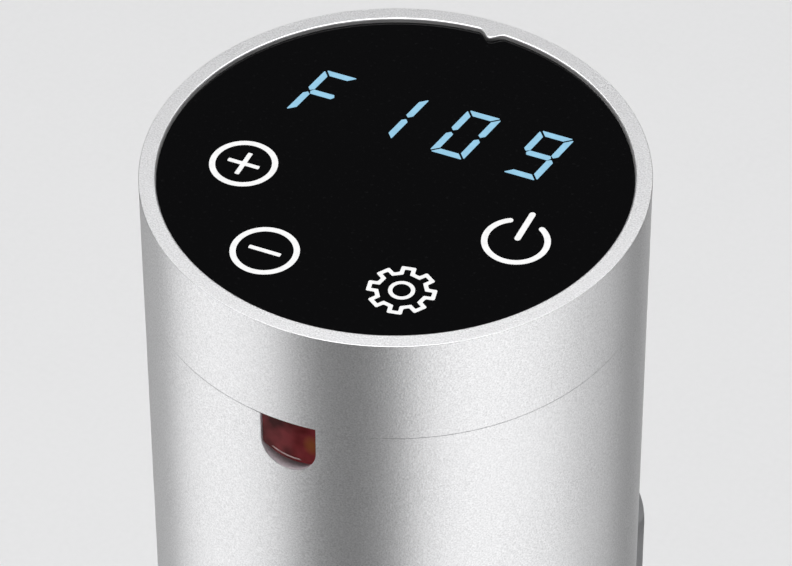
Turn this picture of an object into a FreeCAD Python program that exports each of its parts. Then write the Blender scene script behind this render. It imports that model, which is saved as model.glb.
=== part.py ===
"""Sous vide circulator: a slim immersion stick that clips to a pot, heats the water and stirs it.

Frame: millimetres, +Z up, origin at the centre of the flat underside of the base cap, on the long axis.
The front, with the status window, faces -Y. The clamp and the cord inlet are at the back, +Y.
Four bodies move against the housing: the rotor spins, the clamp lever swings, the skirt pulls off
downwards with the base cap in it, and the base cap pulls out of the skirt.
"""

import FreeCAD
import Part
import math
import os

V = FreeCAD.Vector

# ---- fits -----------------------------------------------------------------------------------------
SNUG = 0.02  # radial clearance where two pieces are assembled solid
RUN = 0.05  # radial clearance of a running fit
FIT = 0.1  # radial clearance between nested housings
PAST = 1.0  # how far a cutting shape reaches past the face it cuts

# ---- housing --------------------------------------------------------------------------------------
HEIGHT = 390.0  # overall
BODY_R = 30.0
WALL = 1.6  # aluminium sleeve
SLEEVE_IN = BODY_R - WALL
SLEEVE_FOOT = 200.0
EDGE = 0.15  # broken edges on both sides of the seam

# ---- head -----------------------------------------------------------------------------------------
CAP_HEIGHT = 14.4
SEAM = HEIGHT - CAP_HEIGHT
RIM = 2.0  # flat rim around the glass
GLASS_SEAT_R = BODY_R - RIM
GLASS_TOP = HEIGHT - 0.5
GLASS_FOOT = GLASS_TOP - 2.0
LEDGE_TOP = GLASS_FOOT - 0.4  # the gasket lies between the ledge and the glass
LEDGE_FOOT = LEDGE_TOP - 3.2
LEDGE_IN = BODY_R - 4.6
KEY_R = 1.15  # nub on the rim that fixes the glass's turn
KEY_Y = GLASS_SEAT_R - 0.05
BOARD_THICK = 1.6
BOARD_TOP = LEDGE_FOOT - 4.9
BOARD_FOOT = BOARD_TOP - BOARD_THICK
LUG_ANGLES = [90, 220, 320]
LUG_CIRCLE = 23.4
LUG_SCREW_R = 1.0
NECK_FOOT = SEAM - 13.6
NECK_IN = 25.2
NECK_LIP = 1.4  # the lip under the control board
NECK_SEAL_Z = SEAM + 3.4

# ---- touch keys and display, seen from above with the front at -Y -------------------------------------
KEYS = [(-17.2, -5.3), (-8.55, -18.15), (8.55, -18.15), (17.2, -5.3)]
DIGITS = 4
DIGIT_PITCH = 9.27
DIGIT_Y = 9.55
DIGIT_HALF_HEIGHT = 4.45
DIGIT_HALF_WIDTH = 1.8  # between the centre lines of the upright segments
DIGIT_SLANT = 0.165  # sideways lean for each millimetre of height
SEGMENT_HALF = 0.48
DISPLAY_FACE = GLASS_FOOT - 0.3

# ---- status window, a round-ended slot that is open at the seam ---------------------------------------
WINDOW_HALF = 3.5
WINDOW_HEIGHT = 7.4
LED_Z = SEAM - 3.6

# ---- cord inlet -----------------------------------------------------------------------------------
GLAND_Z = 345.0
GLAND_R = 6.0
GLAND_BORE_R = 3.4
GLAND_FACE = 38.0
NUT_Y = 22.4

# ---- power electronics ------------------------------------------------------------------------------
CHASSIS_Y = 7.6
POST_X = [-19.0, 19.0]
POST_Z = [300.0, 354.0]
POST_R = 2.6
POST_SCREW_R = 1.25
BOARD_FACE = CHASSIS_Y - 2.0 - BOARD_THICK
TERMINAL_X = [12.5, 17.5]
TERMINAL_Y = BOARD_FACE - 5.0
TERMINAL_FOOT = 312.0

# ---- motor and shaft --------------------------------------------------------------------------------
MOTOR_PLATE_FOOT = 226.0
MOTOR_FOOT = 229.0
MOTOR_TOP = 278.0
MOTOR_R = 18.0
MOTOR_SKIN = 1.2
MOTOR_SCREW_R = 1.5
MOTOR_SCREW_X = 12.0
BEARING_R = 5.0
SHAFT_R = 2.0
SHAFT_FOOT = 19.0

# ---- wet end ----------------------------------------------------------------------------------------
SKIRT_R = 28.0
SKIRT_WALL = 0.8
SKIRT_IN = SKIRT_R - SKIRT_WALL
COLLAR_R = BODY_R - 0.4
COLLAR_TOP = SLEEVE_FOOT - 4.2
COLLAR_FOOT = COLLAR_TOP - 18.8
BASE_SEAM = 14.0  # where the skirt meets the base cap
BULKHEAD_R = SKIRT_IN - 0.3
FLANGE_FOOT = COLLAR_TOP + 0.2
FLOOR_TOP = 204.0
FLOOR_FOOT = 188.0
BULKHEAD_SEAL_Z = 208.5
SKIRT_SEAL_Z = 192.2
SHAFT_SEAL_R = 5.5
SHAFT_SEAL_FOOT = 198.0
GUIDE_R = 4.0
GUIDE_FOOT = 42.0
PUMP_PLATE_FOOT = 44.0
IMPELLER_R = 21.0
IMPELLER_FOOT = 24.0
IMPELLER_TOP = 39.0

# ---- heater and sensors -------------------------------------------------------------------------------
HEATER_R = 3.25  # sheath
HEATER_CIRCLE = 18.0  # the legs stand on this circle
HEATER_LOW = 60.0  # centres of the lower bends
HEATER_HIGH = 172.0  # centres of the upper bends
HEATER_TOP = 213.0  # cold ends inside the housing
LEG_ANGLES = [30, 90, 150, 210, 270, 330]
PROBE_R = 2.2
PROBE_FOOT = 96.0
ELECTRODE_R = 1.3
ELECTRODE_FOOT = 84.0
ELECTRODE_ANGLES = [173, 187]
SENSOR_TOP = 210.0

# ---- clamp ------------------------------------------------------------------------------------------
CLAMP_HALF_WIDTH = 17.7
CLAMP_BACK = 43.0
CLAMP_TOP = 309.0
CHEEK_FOOT = 262.0  # the rim of the pot stops here
TONGUE_FACE = 31.5
TONGUE_FOOT = 208.0
TONGUE_HALF_WIDTH = 15.0
POCKET_FLOOR = 32.0
POCKET_HALF_WIDTH = 13.0
CLAMP_SCREWS = [(246.0, TONGUE_FACE), (296.0, POCKET_FLOOR)]  # height and face of each screw
CLAMP_SCREW_R = 2.0
SCREW_HEAD = 1.2
NUT_PLATE_IN = 25.6
PIVOT_Y = 38.5
PIVOT_Z = 278.0
PIN_R = 2.0
LEVER_HALF_WIDTH = 12.4
LEVER_FOOT = TONGUE_FOOT
LEVER_TOP = 303.5
BARREL_R = 4.6
PAD_THICK = 1.5
PAD_GROOVE = 0.5
JAW_FACE = TONGUE_FACE + 2 * PAD_THICK + 0.4  # the closed pads stay just apart
SPRING_HALF = 6.2  # half the width of the spring's space in the barrel
SPRING_WIRE = 0.6
SPRING_R = 3.4


# ---- builders -----------------------------------------------------------------------------------------
def rod(radius, z0, z1, x=0.0, y=0.0):
    return Part.makeCylinder(radius, z1 - z0, V(x, y, z0))


def rod_along_x(radius, x0, x1, y, z):
    return Part.makeCylinder(radius, x1 - x0, V(x0, y, z), V(1, 0, 0))


def rod_along_y(radius, y0, y1, x, z):
    return Part.makeCylinder(radius, y1 - y0, V(x, y0, z), V(0, 1, 0))


def tube(outer, inner, z0, z1, x=0.0, y=0.0):
    return rod(outer, z0, z1, x, y).cut(rod(inner, z0 - PAST, z1 + PAST, x, y))


def block(x0, x1, y0, y1, z0, z1):
    return Part.makeBox(x1 - x0, y1 - y0, z1 - z0, V(x0, y0, z0))


def outline_face(points):
    return Part.Face(Part.makePolygon(points + points[:1]))


def turned(profile):
    """A solid of revolution about Z from (radius, height) corners."""
    return outline_face([V(r, 0, z) for r, z in profile]).revolve(V(0, 0, 0), V(0, 0, 1), 360)


def side_plate(profile, half_width):
    """A plate from (y, z) corners, centred on the plane x = 0."""
    return outline_face([V(-half_width, y, z) for y, z in profile]).extrude(V(2 * half_width, 0, 0))


def hexagon(across, z0, z1, x=0.0, y=0.0):
    corners = [polar(across / math.sqrt(3), 60 * k) for k in range(6)]
    return outline_face([V(x + cx, y + cy, z0) for cx, cy in corners]).extrude(V(0, 0, z1 - z0))


def polar(radius, degrees):
    return radius * math.cos(math.radians(degrees)), radius * math.sin(math.radians(degrees))


def turned_copy(shape, degrees):
    """The same shape turned about the long axis."""
    copy = shape.copy()
    copy.rotate(V(0, 0, 0), V(0, 0, 1), degrees)
    return copy


def ring_of(shape, count, first=0.0):
    """The shape and its copies, evenly spaced around the long axis."""
    return [turned_copy(shape, first + k * 360.0 / count) for k in range(count)]


def fused(shapes):
    first, *others = shapes
    return first.multiFuse(others).removeSplitter()


def group(shapes):
    """Several separate solids in one node."""
    return Part.makeCompound(shapes)


def o_ring(circle, section_r, z):
    return Part.makeTorus(circle, section_r, V(0, 0, z))


def circle_wire(centre, direction, radius):
    return Part.Wire(Part.Circle(centre, direction, radius).toShape())


def coil_spring(radius, wire, pitch, turns):
    """An open coil that starts at the height of its origin, on the +X side."""
    helix = Part.Wire(Part.makeHelix(pitch, pitch * turns, radius))
    return helix.makePipeShell([circle_wire(V(radius, 0, 0), V(0, 1, 0), wire)], True, True)


def lead(points, bend, wire):
    """A round wire along straight runs that are joined by tangent arcs of radius bend."""
    corners = [V(*point) for point in points]
    edges = []
    start = corners[0]
    for before, corner, after in zip(corners, corners[1:], corners[2:]):
        back = (before - corner).normalize()
        onward = (after - corner).normalize()
        half_turn = (math.pi - back.getAngle(onward)) / 2
        setback = bend * math.tan(half_turn)
        bulge = bend / math.cos(half_turn) - bend
        arc_start = corner + back * setback
        arc_end = corner + onward * setback
        edges.append(Part.LineSegment(start, arc_start).toShape())
        edges.append(Part.Arc(arc_start, corner + (back + onward).normalize() * bulge, arc_end).toShape())
        start = arc_end
    edges.append(Part.LineSegment(start, corners[-1]).toShape())
    section = circle_wire(corners[0], corners[1] - corners[0], wire)
    return Part.Wire(edges).makePipeShell([section], True, False)


def pin_with_round_tip(radius, foot, top, x, y):
    return rod(radius, foot + radius, top, x, y).fuse(Part.makeSphere(radius, V(x, y, foot + radius)))


# ---- head: cap, glass, display and control board -----------------------------------------------------
def window_slot(inner_r, outer_r, grow=0.0):
    """The space of the status window through the front wall, larger all round by grow."""
    half = WINDOW_HALF + grow
    centre_z = SEAM - WINDOW_HEIGHT + WINDOW_HALF
    round_end = rod_along_y(half, -outer_r, -inner_r, 0, centre_z)
    return round_end.fuse(block(-half, half, -outer_r, -inner_r, centre_z, SEAM + grow))


def cap_bezel():
    """Cap ring with the rim, the ledge for the glass and three lugs for the control board."""
    rim_edge = 0.3
    seat_edge = 0.25
    skirt_in = SLEEVE_IN - 0.2
    ring = turned([
        (BODY_R, SEAM + EDGE), (BODY_R, HEIGHT - rim_edge), (BODY_R - rim_edge, HEIGHT),
        (GLASS_SEAT_R + seat_edge, HEIGHT), (GLASS_SEAT_R, HEIGHT - seat_edge), (GLASS_SEAT_R, LEDGE_TOP),
        (LEDGE_IN, LEDGE_TOP), (LEDGE_IN, LEDGE_FOOT), (skirt_in, LEDGE_FOOT), (skirt_in, SEAM),
        (BODY_R - EDGE, SEAM)])
    key = rod(KEY_R, GLASS_FOOT, HEIGHT, 0, KEY_Y).common(rod(BODY_R - 1, GLASS_FOOT, HEIGHT))
    lug_half = 2.4
    lugs = []
    holes = []
    for angle in LUG_ANGLES:
        x, y = polar(LUG_CIRCLE, angle)
        arm = block(LUG_CIRCLE, LEDGE_IN + 0.6, -lug_half, lug_half, LEDGE_FOOT, LEDGE_TOP)
        lugs.append(turned_copy(arm, angle))
        lugs.append(rod(lug_half, LEDGE_FOOT, LEDGE_TOP, x, y))
        holes.append(rod(LUG_SCREW_R + SNUG, LEDGE_FOOT - PAST, LEDGE_TOP - 0.6, x, y))
    return fused([ring, key] + lugs).cut(holes)


def touch_glass():
    edge = 0.15
    radius = GLASS_SEAT_R - FIT
    disc = turned([(0, GLASS_FOOT), (radius, GLASS_FOOT), (radius, GLASS_TOP - edge), (radius - edge, GLASS_TOP),
                   (0, GLASS_TOP)])
    return disc.cut(rod(KEY_R + FIT, GLASS_FOOT - PAST, GLASS_TOP + PAST, 0, KEY_Y))


def glass_gasket():
    return tube(GLASS_SEAT_R - 0.4, LEDGE_IN + 0.2, LEDGE_TOP, GLASS_FOOT)


def segment(x0, y0, x1, y1):
    """A six-cornered light pipe between two points of an upright digit, leant over by the slant."""
    depth = 2.0
    gap = 0.12
    length = math.hypot(x1 - x0, y1 - y0)
    ux, uy = (x1 - x0) / length, (y1 - y0) / length
    shoulder = gap + SEGMENT_HALF
    corners = []
    for along, side in ((gap, 0), (shoulder, 1), (length - shoulder, 1), (length - gap, 0), (length - shoulder, -1),
                        (shoulder, -1)):
        x = x0 + ux * along - uy * side * SEGMENT_HALF
        y = y0 + uy * along + ux * side * SEGMENT_HALF
        corners.append(V(x + y * DIGIT_SLANT, y, DISPLAY_FACE - depth))
    return outline_face(corners).extrude(V(0, 0, depth))


def display_segments():
    """The seven light pipes of each digit."""
    w = DIGIT_HALF_WIDTH
    h = DIGIT_HALF_HEIGHT - SEGMENT_HALF
    strokes = [(-w, h, w, h), (w, 0, w, h), (w, -h, w, 0), (-w, -h, w, -h), (-w, -h, -w, 0), (-w, 0, -w, h),
               (-w, 0, w, 0)]
    pipes = []
    for digit in range(DIGITS):
        for stroke in strokes:
            pipe = segment(*stroke)
            pipe.translate(V((digit - (DIGITS - 1) / 2) * DIGIT_PITCH, DIGIT_Y, 0))
            pipes.append(pipe)
    return group(pipes)


def display_module():
    half_length = DIGITS * DIGIT_PITCH / 2
    half_width = DIGIT_HALF_HEIGHT + 1.75
    body = block(-half_length, half_length, DIGIT_Y - half_width, DIGIT_Y + half_width, BOARD_TOP, DISPLAY_FACE)
    return body.cut(display_segments())


def touch_springs():
    """Contact springs that carry the touch keys' signal from the board up to the glass."""
    wire, radius, turns, clearance = 0.35, 2.6, 5, 0.05
    pitch = (GLASS_FOOT - BOARD_TOP - 2 * (wire + clearance)) / turns
    springs = []
    for x, y in KEYS:
        spring = coil_spring(radius, wire, pitch, turns)
        spring.translate(V(x, y, BOARD_TOP + wire + clearance))
        springs.append(spring)
    return group(springs)


def lug_holes(radius, z0, z1):
    return [rod(radius, z0, z1, *polar(LUG_CIRCLE, angle)) for angle in LUG_ANGLES]


def control_board():
    disc = rod(LEDGE_IN - 0.5, BOARD_FOOT, BOARD_TOP)
    return disc.cut(lug_holes(LUG_SCREW_R + 0.15, BOARD_FOOT - PAST, BOARD_TOP + PAST))


def control_chips():
    controller = block(-5, 5, -6, 4, BOARD_FOOT - 1.2, BOARD_FOOT)
    radio = block(-15, -7, 5, 15, BOARD_FOOT - 2.4, BOARD_FOOT)
    socket = block(10, 18, -4, 2, BOARD_FOOT - 6, BOARD_FOOT)
    return group([controller, radio, socket])


def buzzer():
    x, y, height = 6, 13, 5
    sound_hole = rod(1.0, BOARD_FOOT - height - PAST, BOARD_FOOT - height + 2, x, y)
    return rod(5.5, BOARD_FOOT - height, BOARD_FOOT, x, y).cut(sound_hole)


def board_screws():
    """Screws with a hexagon socket, driven upwards through the neck ring and the board into the lugs."""
    head_r, head_height = 1.7, 1.4
    head_top = BOARD_FOOT - NECK_LIP
    screws = []
    for angle in LUG_ANGLES:
        x, y = polar(LUG_CIRCLE, angle)
        head = rod(head_r, head_top - head_height, head_top, x, y)
        socket = hexagon(1.5, head_top - head_height - PAST, head_top - head_height / 2, x, y)
        shank = rod(LUG_SCREW_R, head_top - 0.1, LEDGE_TOP - 0.8, x, y)
        screws.append(head.cut(socket).fuse(shank))
    return group(screws)


def neck_ring():
    """Plastic ring inside the sleeve's mouth. It centres the cap and carries the control board and the lens."""
    neck_r = SLEEVE_IN - 0.3
    lip_in = NECK_IN - 3.2
    groove_in = neck_r - 1.5
    groove_half = 0.9
    ring = turned([
        (NECK_IN, NECK_FOOT), (SLEEVE_IN - FIT, NECK_FOOT), (SLEEVE_IN - FIT, SEAM - 0.1), (neck_r, SEAM - 0.1),
        (neck_r, NECK_SEAL_Z - groove_half), (groove_in, NECK_SEAL_Z - groove_half),
        (groove_in, NECK_SEAL_Z + groove_half), (neck_r, NECK_SEAL_Z + groove_half), (neck_r, LEDGE_FOOT - 0.1),
        (NECK_IN, LEDGE_FOOT - 0.1), (NECK_IN, BOARD_FOOT), (lip_in, BOARD_FOOT), (lip_in, BOARD_FOOT - NECK_LIP),
        (NECK_IN, BOARD_FOOT - NECK_LIP)])
    ring = ring.cut(lug_holes(LUG_SCREW_R + 0.15, BOARD_FOOT - NECK_LIP - PAST, BOARD_FOOT + PAST))
    return ring.cut(window_slot(20, BODY_R + PAST, 1.6))


def neck_seal():
    circle, section_r = 27.4, 0.75
    return o_ring(circle, section_r, NECK_SEAL_Z)


def status_lens():
    """Red light window. Its face lies against the inside of the sleeve, behind the slot."""
    lens_in = 25.9
    shell = tube(SLEEVE_IN - RUN, lens_in, NECK_FOOT, SEAM)
    lens = shell.common(window_slot(20, BODY_R, 1.45))
    light_pipe = window_slot(22.5, lens_in + 0.6, -1.2).common(rod(lens_in + 0.6, NECK_FOOT, SEAM))
    return lens.fuse(light_pipe)


def status_led():
    """Round lamp behind the lens, with its two legs bent up to the control board."""
    bulb_r, rim_r, leg_r, leg_y = 1.5, 1.8, 0.3, -17.6
    tip_y = -20.8
    bulb = rod_along_y(bulb_r, tip_y, -19.0, 0, LED_Z).fuse(Part.makeSphere(bulb_r, V(0, tip_y, LED_Z)))
    rim = rod_along_y(rim_r, -19.0, -18.2, 0, LED_Z)
    legs = []
    for x in (-0.9, 0.9):
        legs.append(rod(leg_r, LED_Z, BOARD_FOOT, x, leg_y))
        legs.append(rod_along_y(leg_r, -18.4, leg_y, x, LED_Z))
    return fused([bulb, rim] + legs)


# ---- sleeve and what it holds ------------------------------------------------------------------------
def body_sleeve():
    """Aluminium tube with the window slot in front and the holes for the gland and the clamp behind."""
    sleeve = turned([(SLEEVE_IN, SLEEVE_FOOT), (BODY_R - EDGE, SLEEVE_FOOT), (BODY_R, SLEEVE_FOOT + EDGE),
                     (BODY_R, SEAM - EDGE), (BODY_R - EDGE, SEAM), (SLEEVE_IN, SEAM)])
    cuts = [window_slot(20, BODY_R + PAST), rod_along_y(GLAND_R + SNUG, 20, BODY_R + PAST, 0, GLAND_Z)]
    for z, _ in CLAMP_SCREWS:
        cuts.append(rod_along_y(CLAMP_SCREW_R + RUN, 20, BODY_R + PAST, 0, z))
    return sleeve.cut(cuts)


def cord_gland():
    """Bushing for the mains cord, which leaves backwards above the clamp."""
    collar_r, inner_end, collar_back = 8.6, 22.0, 34.0
    profile = [(GLAND_BORE_R, inner_end), (GLAND_R, inner_end), (GLAND_R, 27.0), (collar_r, 27.0),
               (collar_r, collar_back), (7.4, 35.6), (6.6, GLAND_FACE), (GLAND_BORE_R + 0.5, GLAND_FACE),
               (GLAND_BORE_R, GLAND_FACE - 0.5)]
    body = outline_face([V(r, y, GLAND_Z) for r, y in profile]).revolve(V(0, 0, GLAND_Z), V(0, 1, 0), 360)
    around_thread = rod_along_y(14, 0, BODY_R, 0, GLAND_Z).cut(rod_along_y(GLAND_R, -PAST, BODY_R + PAST, 0, GLAND_Z))
    saddle = around_thread.common(rod(BODY_R + SNUG, GLAND_Z - 15, GLAND_Z + 15))
    return body.cut(saddle)


def gland_nut():
    nut = hexagon(17.0, 0, 4.0).cut(rod(GLAND_R + SNUG, -PAST, 4.0 + PAST))
    nut.rotate(V(0, 0, 0), V(1, 0, 0), -90)
    nut.translate(V(0, NUT_Y, GLAND_Z))
    return nut


def board_posts(radius, y0, y1):
    return [rod_along_y(radius, y0, y1, x, z) for x in POST_X for z in POST_Z]


def inner_chassis():
    """Upright plate for the power board on a disc that fits the sleeve."""
    disc_foot, disc_top, width = 286.0, 288.4, 22.0
    plate = block(-width, width, CHASSIS_Y, CHASSIS_Y + 2, disc_top - 0.4, NECK_FOOT - 1)
    disc = rod(SLEEVE_IN - FIT, disc_foot, disc_top)
    below, above = disc_foot - PAST, disc_top + PAST
    openings = [rod(8, below, above), block(-13, 0, -14, -9.5, below, above),
                block(-30, 30, 20, 30, below, above)]
    for side in (-1, 1):
        near, far = sorted((side * 17, side * 30))
        openings.append(block(near, far, -14, 14, below, above))
    body = fused([plate, disc.cut(openings)] + board_posts(POST_R, CHASSIS_Y - 2, CHASSIS_Y + 2))
    return body.cut(board_posts(POST_SCREW_R + SNUG, 0, CHASSIS_Y + 3))


def power_board():
    board = block(-22, 22, BOARD_FACE, BOARD_FACE + BOARD_THICK, 295, 359)
    return board.cut(board_posts(POST_SCREW_R + 0.15, 0, CHASSIS_Y + 3))


def board_fasteners():
    """Slotted screws through the power board into the chassis posts."""
    head_r, head_height, slot_half = 2.4, 1.8, 0.4
    screws = []
    for x in POST_X:
        for z in POST_Z:
            head = rod_along_y(head_r, BOARD_FACE - head_height, BOARD_FACE, x, z)
            slot = block(x - slot_half, x + slot_half, BOARD_FACE - head_height - PAST, BOARD_FACE - head_height / 2,
                         z - head_r, z + head_r)
            shank = rod_along_y(POST_SCREW_R, BOARD_FACE - 0.2, CHASSIS_Y + 1.5, x, z)
            screws.append(head.cut(slot).fuse(shank))
    return group(screws)


def transformer():
    core = block(-17, 1, BOARD_FACE - 15, BOARD_FACE, 331, 349)
    winding = block(-14, -2, BOARD_FACE - 17.5, BOARD_FACE - 15, 334, 346)
    return core.fuse(winding)


def relay():
    return block(4, 16, BOARD_FACE - 15, BOARD_FACE, 330, 349)


def filter_capacitors():
    tall = rod(5, 303, 325, -8, BOARD_FACE - 5.3)
    short = rod(4, 308, 325, 4, BOARD_FACE - 4.3)
    return group([tall, short])


def terminal_block():
    """Two screw terminals, with the wire entries below and the screws in front."""
    front, height = BOARD_FACE - 9, 12
    body = block(10, 20, front, BOARD_FACE, TERMINAL_FOOT, TERMINAL_FOOT + height)
    for x in TERMINAL_X:
        body = body.cut(rod(1.6, TERMINAL_FOOT - PAST, TERMINAL_FOOT + 5, x, TERMINAL_Y))
        body = body.cut(rod_along_y(1.6, front - PAST, front + 1.5, x, TERMINAL_FOOT + 8))
    return body


# ---- motor, shaft and pump -----------------------------------------------------------------------------
def motor_screw_holes(z0, z1):
    return [rod(MOTOR_SCREW_R + RUN, z0, z1, 0, side * MOTOR_SCREW_X) for side in (-1, 1)]


def motor_plate():
    """Disc that carries the motor, with a duct for leads on each side."""
    below, above = MOTOR_PLATE_FOOT - PAST, MOTOR_FOOT + PAST
    plate = rod(SLEEVE_IN - FIT, MOTOR_PLATE_FOOT, MOTOR_FOOT)
    ducts = [block(-30, -19.5, -13, 13, below, above), block(19.5, 30, -13, 13, below, above)]
    return plate.cut([rod(BEARING_R + 1.2, below, above)] + ducts + motor_screw_holes(below, above))


def motor_screws():
    head_r, head_height = 2.75, 2.2
    screws = []
    for side in (-1, 1):
        y = side * MOTOR_SCREW_X
        head = rod(head_r, MOTOR_PLATE_FOOT - head_height, MOTOR_PLATE_FOOT, 0, y)
        socket = hexagon(2.5, MOTOR_PLATE_FOOT - head_height - PAST, MOTOR_PLATE_FOOT - head_height / 2, 0, y)
        shank = rod(MOTOR_SCREW_R, MOTOR_PLATE_FOOT - 0.5, MOTOR_FOOT + 1.8, 0, y)
        screws.append(head.cut(socket).fuse(shank))
    return group(screws)


def motor_can():
    """Drawn steel can with a bearing seat at each end."""
    inner = MOTOR_R - MOTOR_SKIN
    bore = BEARING_R + SNUG
    can = turned([
        (bore, MOTOR_FOOT), (MOTOR_R, MOTOR_FOOT), (MOTOR_R, MOTOR_TOP - 1), (MOTOR_R - 1, MOTOR_TOP),
        (BEARING_R + 1, MOTOR_TOP), (BEARING_R + 1, MOTOR_TOP + 3), (bore, MOTOR_TOP + 3), (bore, MOTOR_TOP - 2),
        (inner, MOTOR_TOP - 2), (inner, MOTOR_FOOT + 2), (bore, MOTOR_FOOT + 2)])
    return can.cut(motor_screw_holes(MOTOR_FOOT - PAST, MOTOR_FOOT + 3))


def motor_magnets():
    """Two magnet shells inside the can."""
    ring = tube(MOTOR_R - MOTOR_SKIN - RUN, 12.2, MOTOR_FOOT + 6, MOTOR_TOP - 8)
    return ring.cut(block(-2, 2, -MOTOR_R, MOTOR_R, MOTOR_FOOT, MOTOR_TOP))


def motor_bearings():
    low = tube(BEARING_R, SHAFT_R + RUN, MOTOR_FOOT - 1, MOTOR_FOOT + 4)
    high = tube(BEARING_R, SHAFT_R + RUN, MOTOR_TOP - 3, MOTOR_TOP + 2)
    return group([low, high])


def motor_rotor():
    """Slotted rotor core with the commutator above it."""
    core = tube(11.4, SHAFT_R + SNUG, MOTOR_FOOT + 10, MOTOR_TOP - 12)
    slot = block(6.5, 12, -0.9, 0.9, MOTOR_FOOT, MOTOR_TOP)
    commutator = tube(4.6, SHAFT_R + SNUG, MOTOR_TOP - 12, MOTOR_TOP - 5)
    return core.cut(ring_of(slot, 7)).fuse(commutator)


def drive_shaft():
    edge = 0.5
    top = MOTOR_TOP + 5
    return turned([(0, SHAFT_FOOT), (SHAFT_R - edge, SHAFT_FOOT), (SHAFT_R, SHAFT_FOOT + edge), (SHAFT_R, top - edge),
                   (SHAFT_R - edge, top), (0, top)])


def impeller():
    """Open radial impeller: a disc below, six curved blades above it."""
    hub_r, blade_circle, blade_half = 5.2, 13.0, 0.75
    blade_top = IMPELLER_TOP - 2
    disc = rod(IMPELLER_R, IMPELLER_FOOT, IMPELLER_FOOT + 1.6)
    hub = rod(hub_r, IMPELLER_FOOT, IMPELLER_TOP)
    zone = tube(IMPELLER_R, hub_r - 0.7, IMPELLER_FOOT + 0.8, blade_top)
    arc = tube(blade_circle + blade_half, blade_circle - blade_half, IMPELLER_FOOT, IMPELLER_TOP, blade_circle, 0)
    blade = arc.common(block(0, 2 * IMPELLER_R, 0, 2 * IMPELLER_R, IMPELLER_FOOT, IMPELLER_TOP)).common(zone)
    wheel = fused([disc, hub] + ring_of(blade, 6))
    return wheel.cut(rod(SHAFT_R + SNUG, IMPELLER_FOOT - PAST, IMPELLER_TOP + PAST))


def impeller_nut():
    height = 3.2
    nut = hexagon(7.0, IMPELLER_FOOT - height, IMPELLER_FOOT)
    return nut.cut(rod(SHAFT_R + SNUG, IMPELLER_FOOT - height - PAST, IMPELLER_FOOT + PAST))


# ---- wet end that stays on the housing -------------------------------------------------------------------
def heater_end_places():
    return [polar(HEATER_CIRCLE, angle) for angle in (LEG_ANGLES[0], LEG_ANGLES[-1])]


def electrode_places():
    return [polar(HEATER_CIRCLE, angle) for angle in ELECTRODE_ANGLES]


def bulkhead():
    """Black plug that closes the sleeve. Everything that reaches into the water passes through it."""
    plug_r = SLEEVE_IN - FIT
    wall_in = NECK_IN
    groove = 1.6
    groove_half = 1.0
    flange_r = BODY_R - 0.1
    below, above = FLOOR_FOOT - PAST, FLOOR_TOP + PAST
    body = turned([
        (0, FLOOR_FOOT), (BULKHEAD_R - 0.5, FLOOR_FOOT), (BULKHEAD_R, FLOOR_FOOT + 0.5),
        (BULKHEAD_R, SKIRT_SEAL_Z - groove_half), (BULKHEAD_R - groove, SKIRT_SEAL_Z - groove_half),
        (BULKHEAD_R - groove, SKIRT_SEAL_Z + groove_half), (BULKHEAD_R, SKIRT_SEAL_Z + groove_half),
        (BULKHEAD_R, FLANGE_FOOT), (COLLAR_R, FLANGE_FOOT), (flange_r, FLANGE_FOOT + 0.4),
        (flange_r, SLEEVE_FOOT - 0.1), (plug_r, SLEEVE_FOOT - 0.1), (plug_r, BULKHEAD_SEAL_Z - groove_half),
        (plug_r - groove, BULKHEAD_SEAL_Z - groove_half), (plug_r - groove, BULKHEAD_SEAL_Z + groove_half),
        (plug_r, BULKHEAD_SEAL_Z + groove_half), (plug_r, MOTOR_PLATE_FOOT), (wall_in, MOTOR_PLATE_FOOT),
        (wall_in, FLOOR_TOP), (0, FLOOR_TOP)])
    holes = [rod(GUIDE_R + SNUG, below, FLANGE_FOOT), rod(SHAFT_SEAL_R + SNUG, FLANGE_FOOT, above),
             rod(SHAFT_R + 0.6, below, above), rod(PROBE_R + SNUG, below, above, HEATER_CIRCLE, 0)]
    holes += [rod(HEATER_R + SNUG, below, above, x, y) for x, y in heater_end_places()]
    holes += [rod(ELECTRODE_R + SNUG, below, above, x, y) for x, y in electrode_places()]
    return body.cut(holes)


def bulkhead_seal():
    circle, section_r = 27.5, 0.78
    return o_ring(circle, section_r, BULKHEAD_SEAL_Z)


def skirt_seal():
    circle, section_r = 26.22, 0.88
    return o_ring(circle, section_r, SKIRT_SEAL_Z)


def shaft_seal():
    """Lip seal: an outer ring and an inner lip around the shaft, open above."""
    ring = tube(SHAFT_SEAL_R, SHAFT_R + RUN, SHAFT_SEAL_FOOT, FLOOR_TOP)
    return ring.cut(tube(4.4, 3.2, SHAFT_SEAL_FOOT + 1.5, FLOOR_TOP + PAST))


def guide_tube():
    """Stainless tube around the lower shaft. It carries the pump plate."""
    return tube(GUIDE_R, 2.95, GUIDE_FOOT, FLANGE_FOOT)


def shaft_bushing():
    return tube(2.93, SHAFT_R + RUN, GUIDE_FOOT, GUIDE_FOOT + 10)


def pump_plate():
    """Disc above the impeller. Water is drawn down through its four windows."""
    spokes_half = 2.0
    z0, z1 = PUMP_PLATE_FOOT, PUMP_PLATE_FOOT + 2
    plate = rod(BULKHEAD_R - 0.2, z0, z1).fuse(rod(7, z0 - 1, z1 + 4))
    window = tube(22.5, 9.5, z0 - PAST, z1 + PAST)
    quarter = block(spokes_half, 30, spokes_half, 30, z0 - PAST, z1 + PAST).common(window)
    return plate.cut(ring_of(quarter, 4, 45)).cut(rod(GUIDE_R + SNUG, z0 - 2, z1 + 5))


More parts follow.
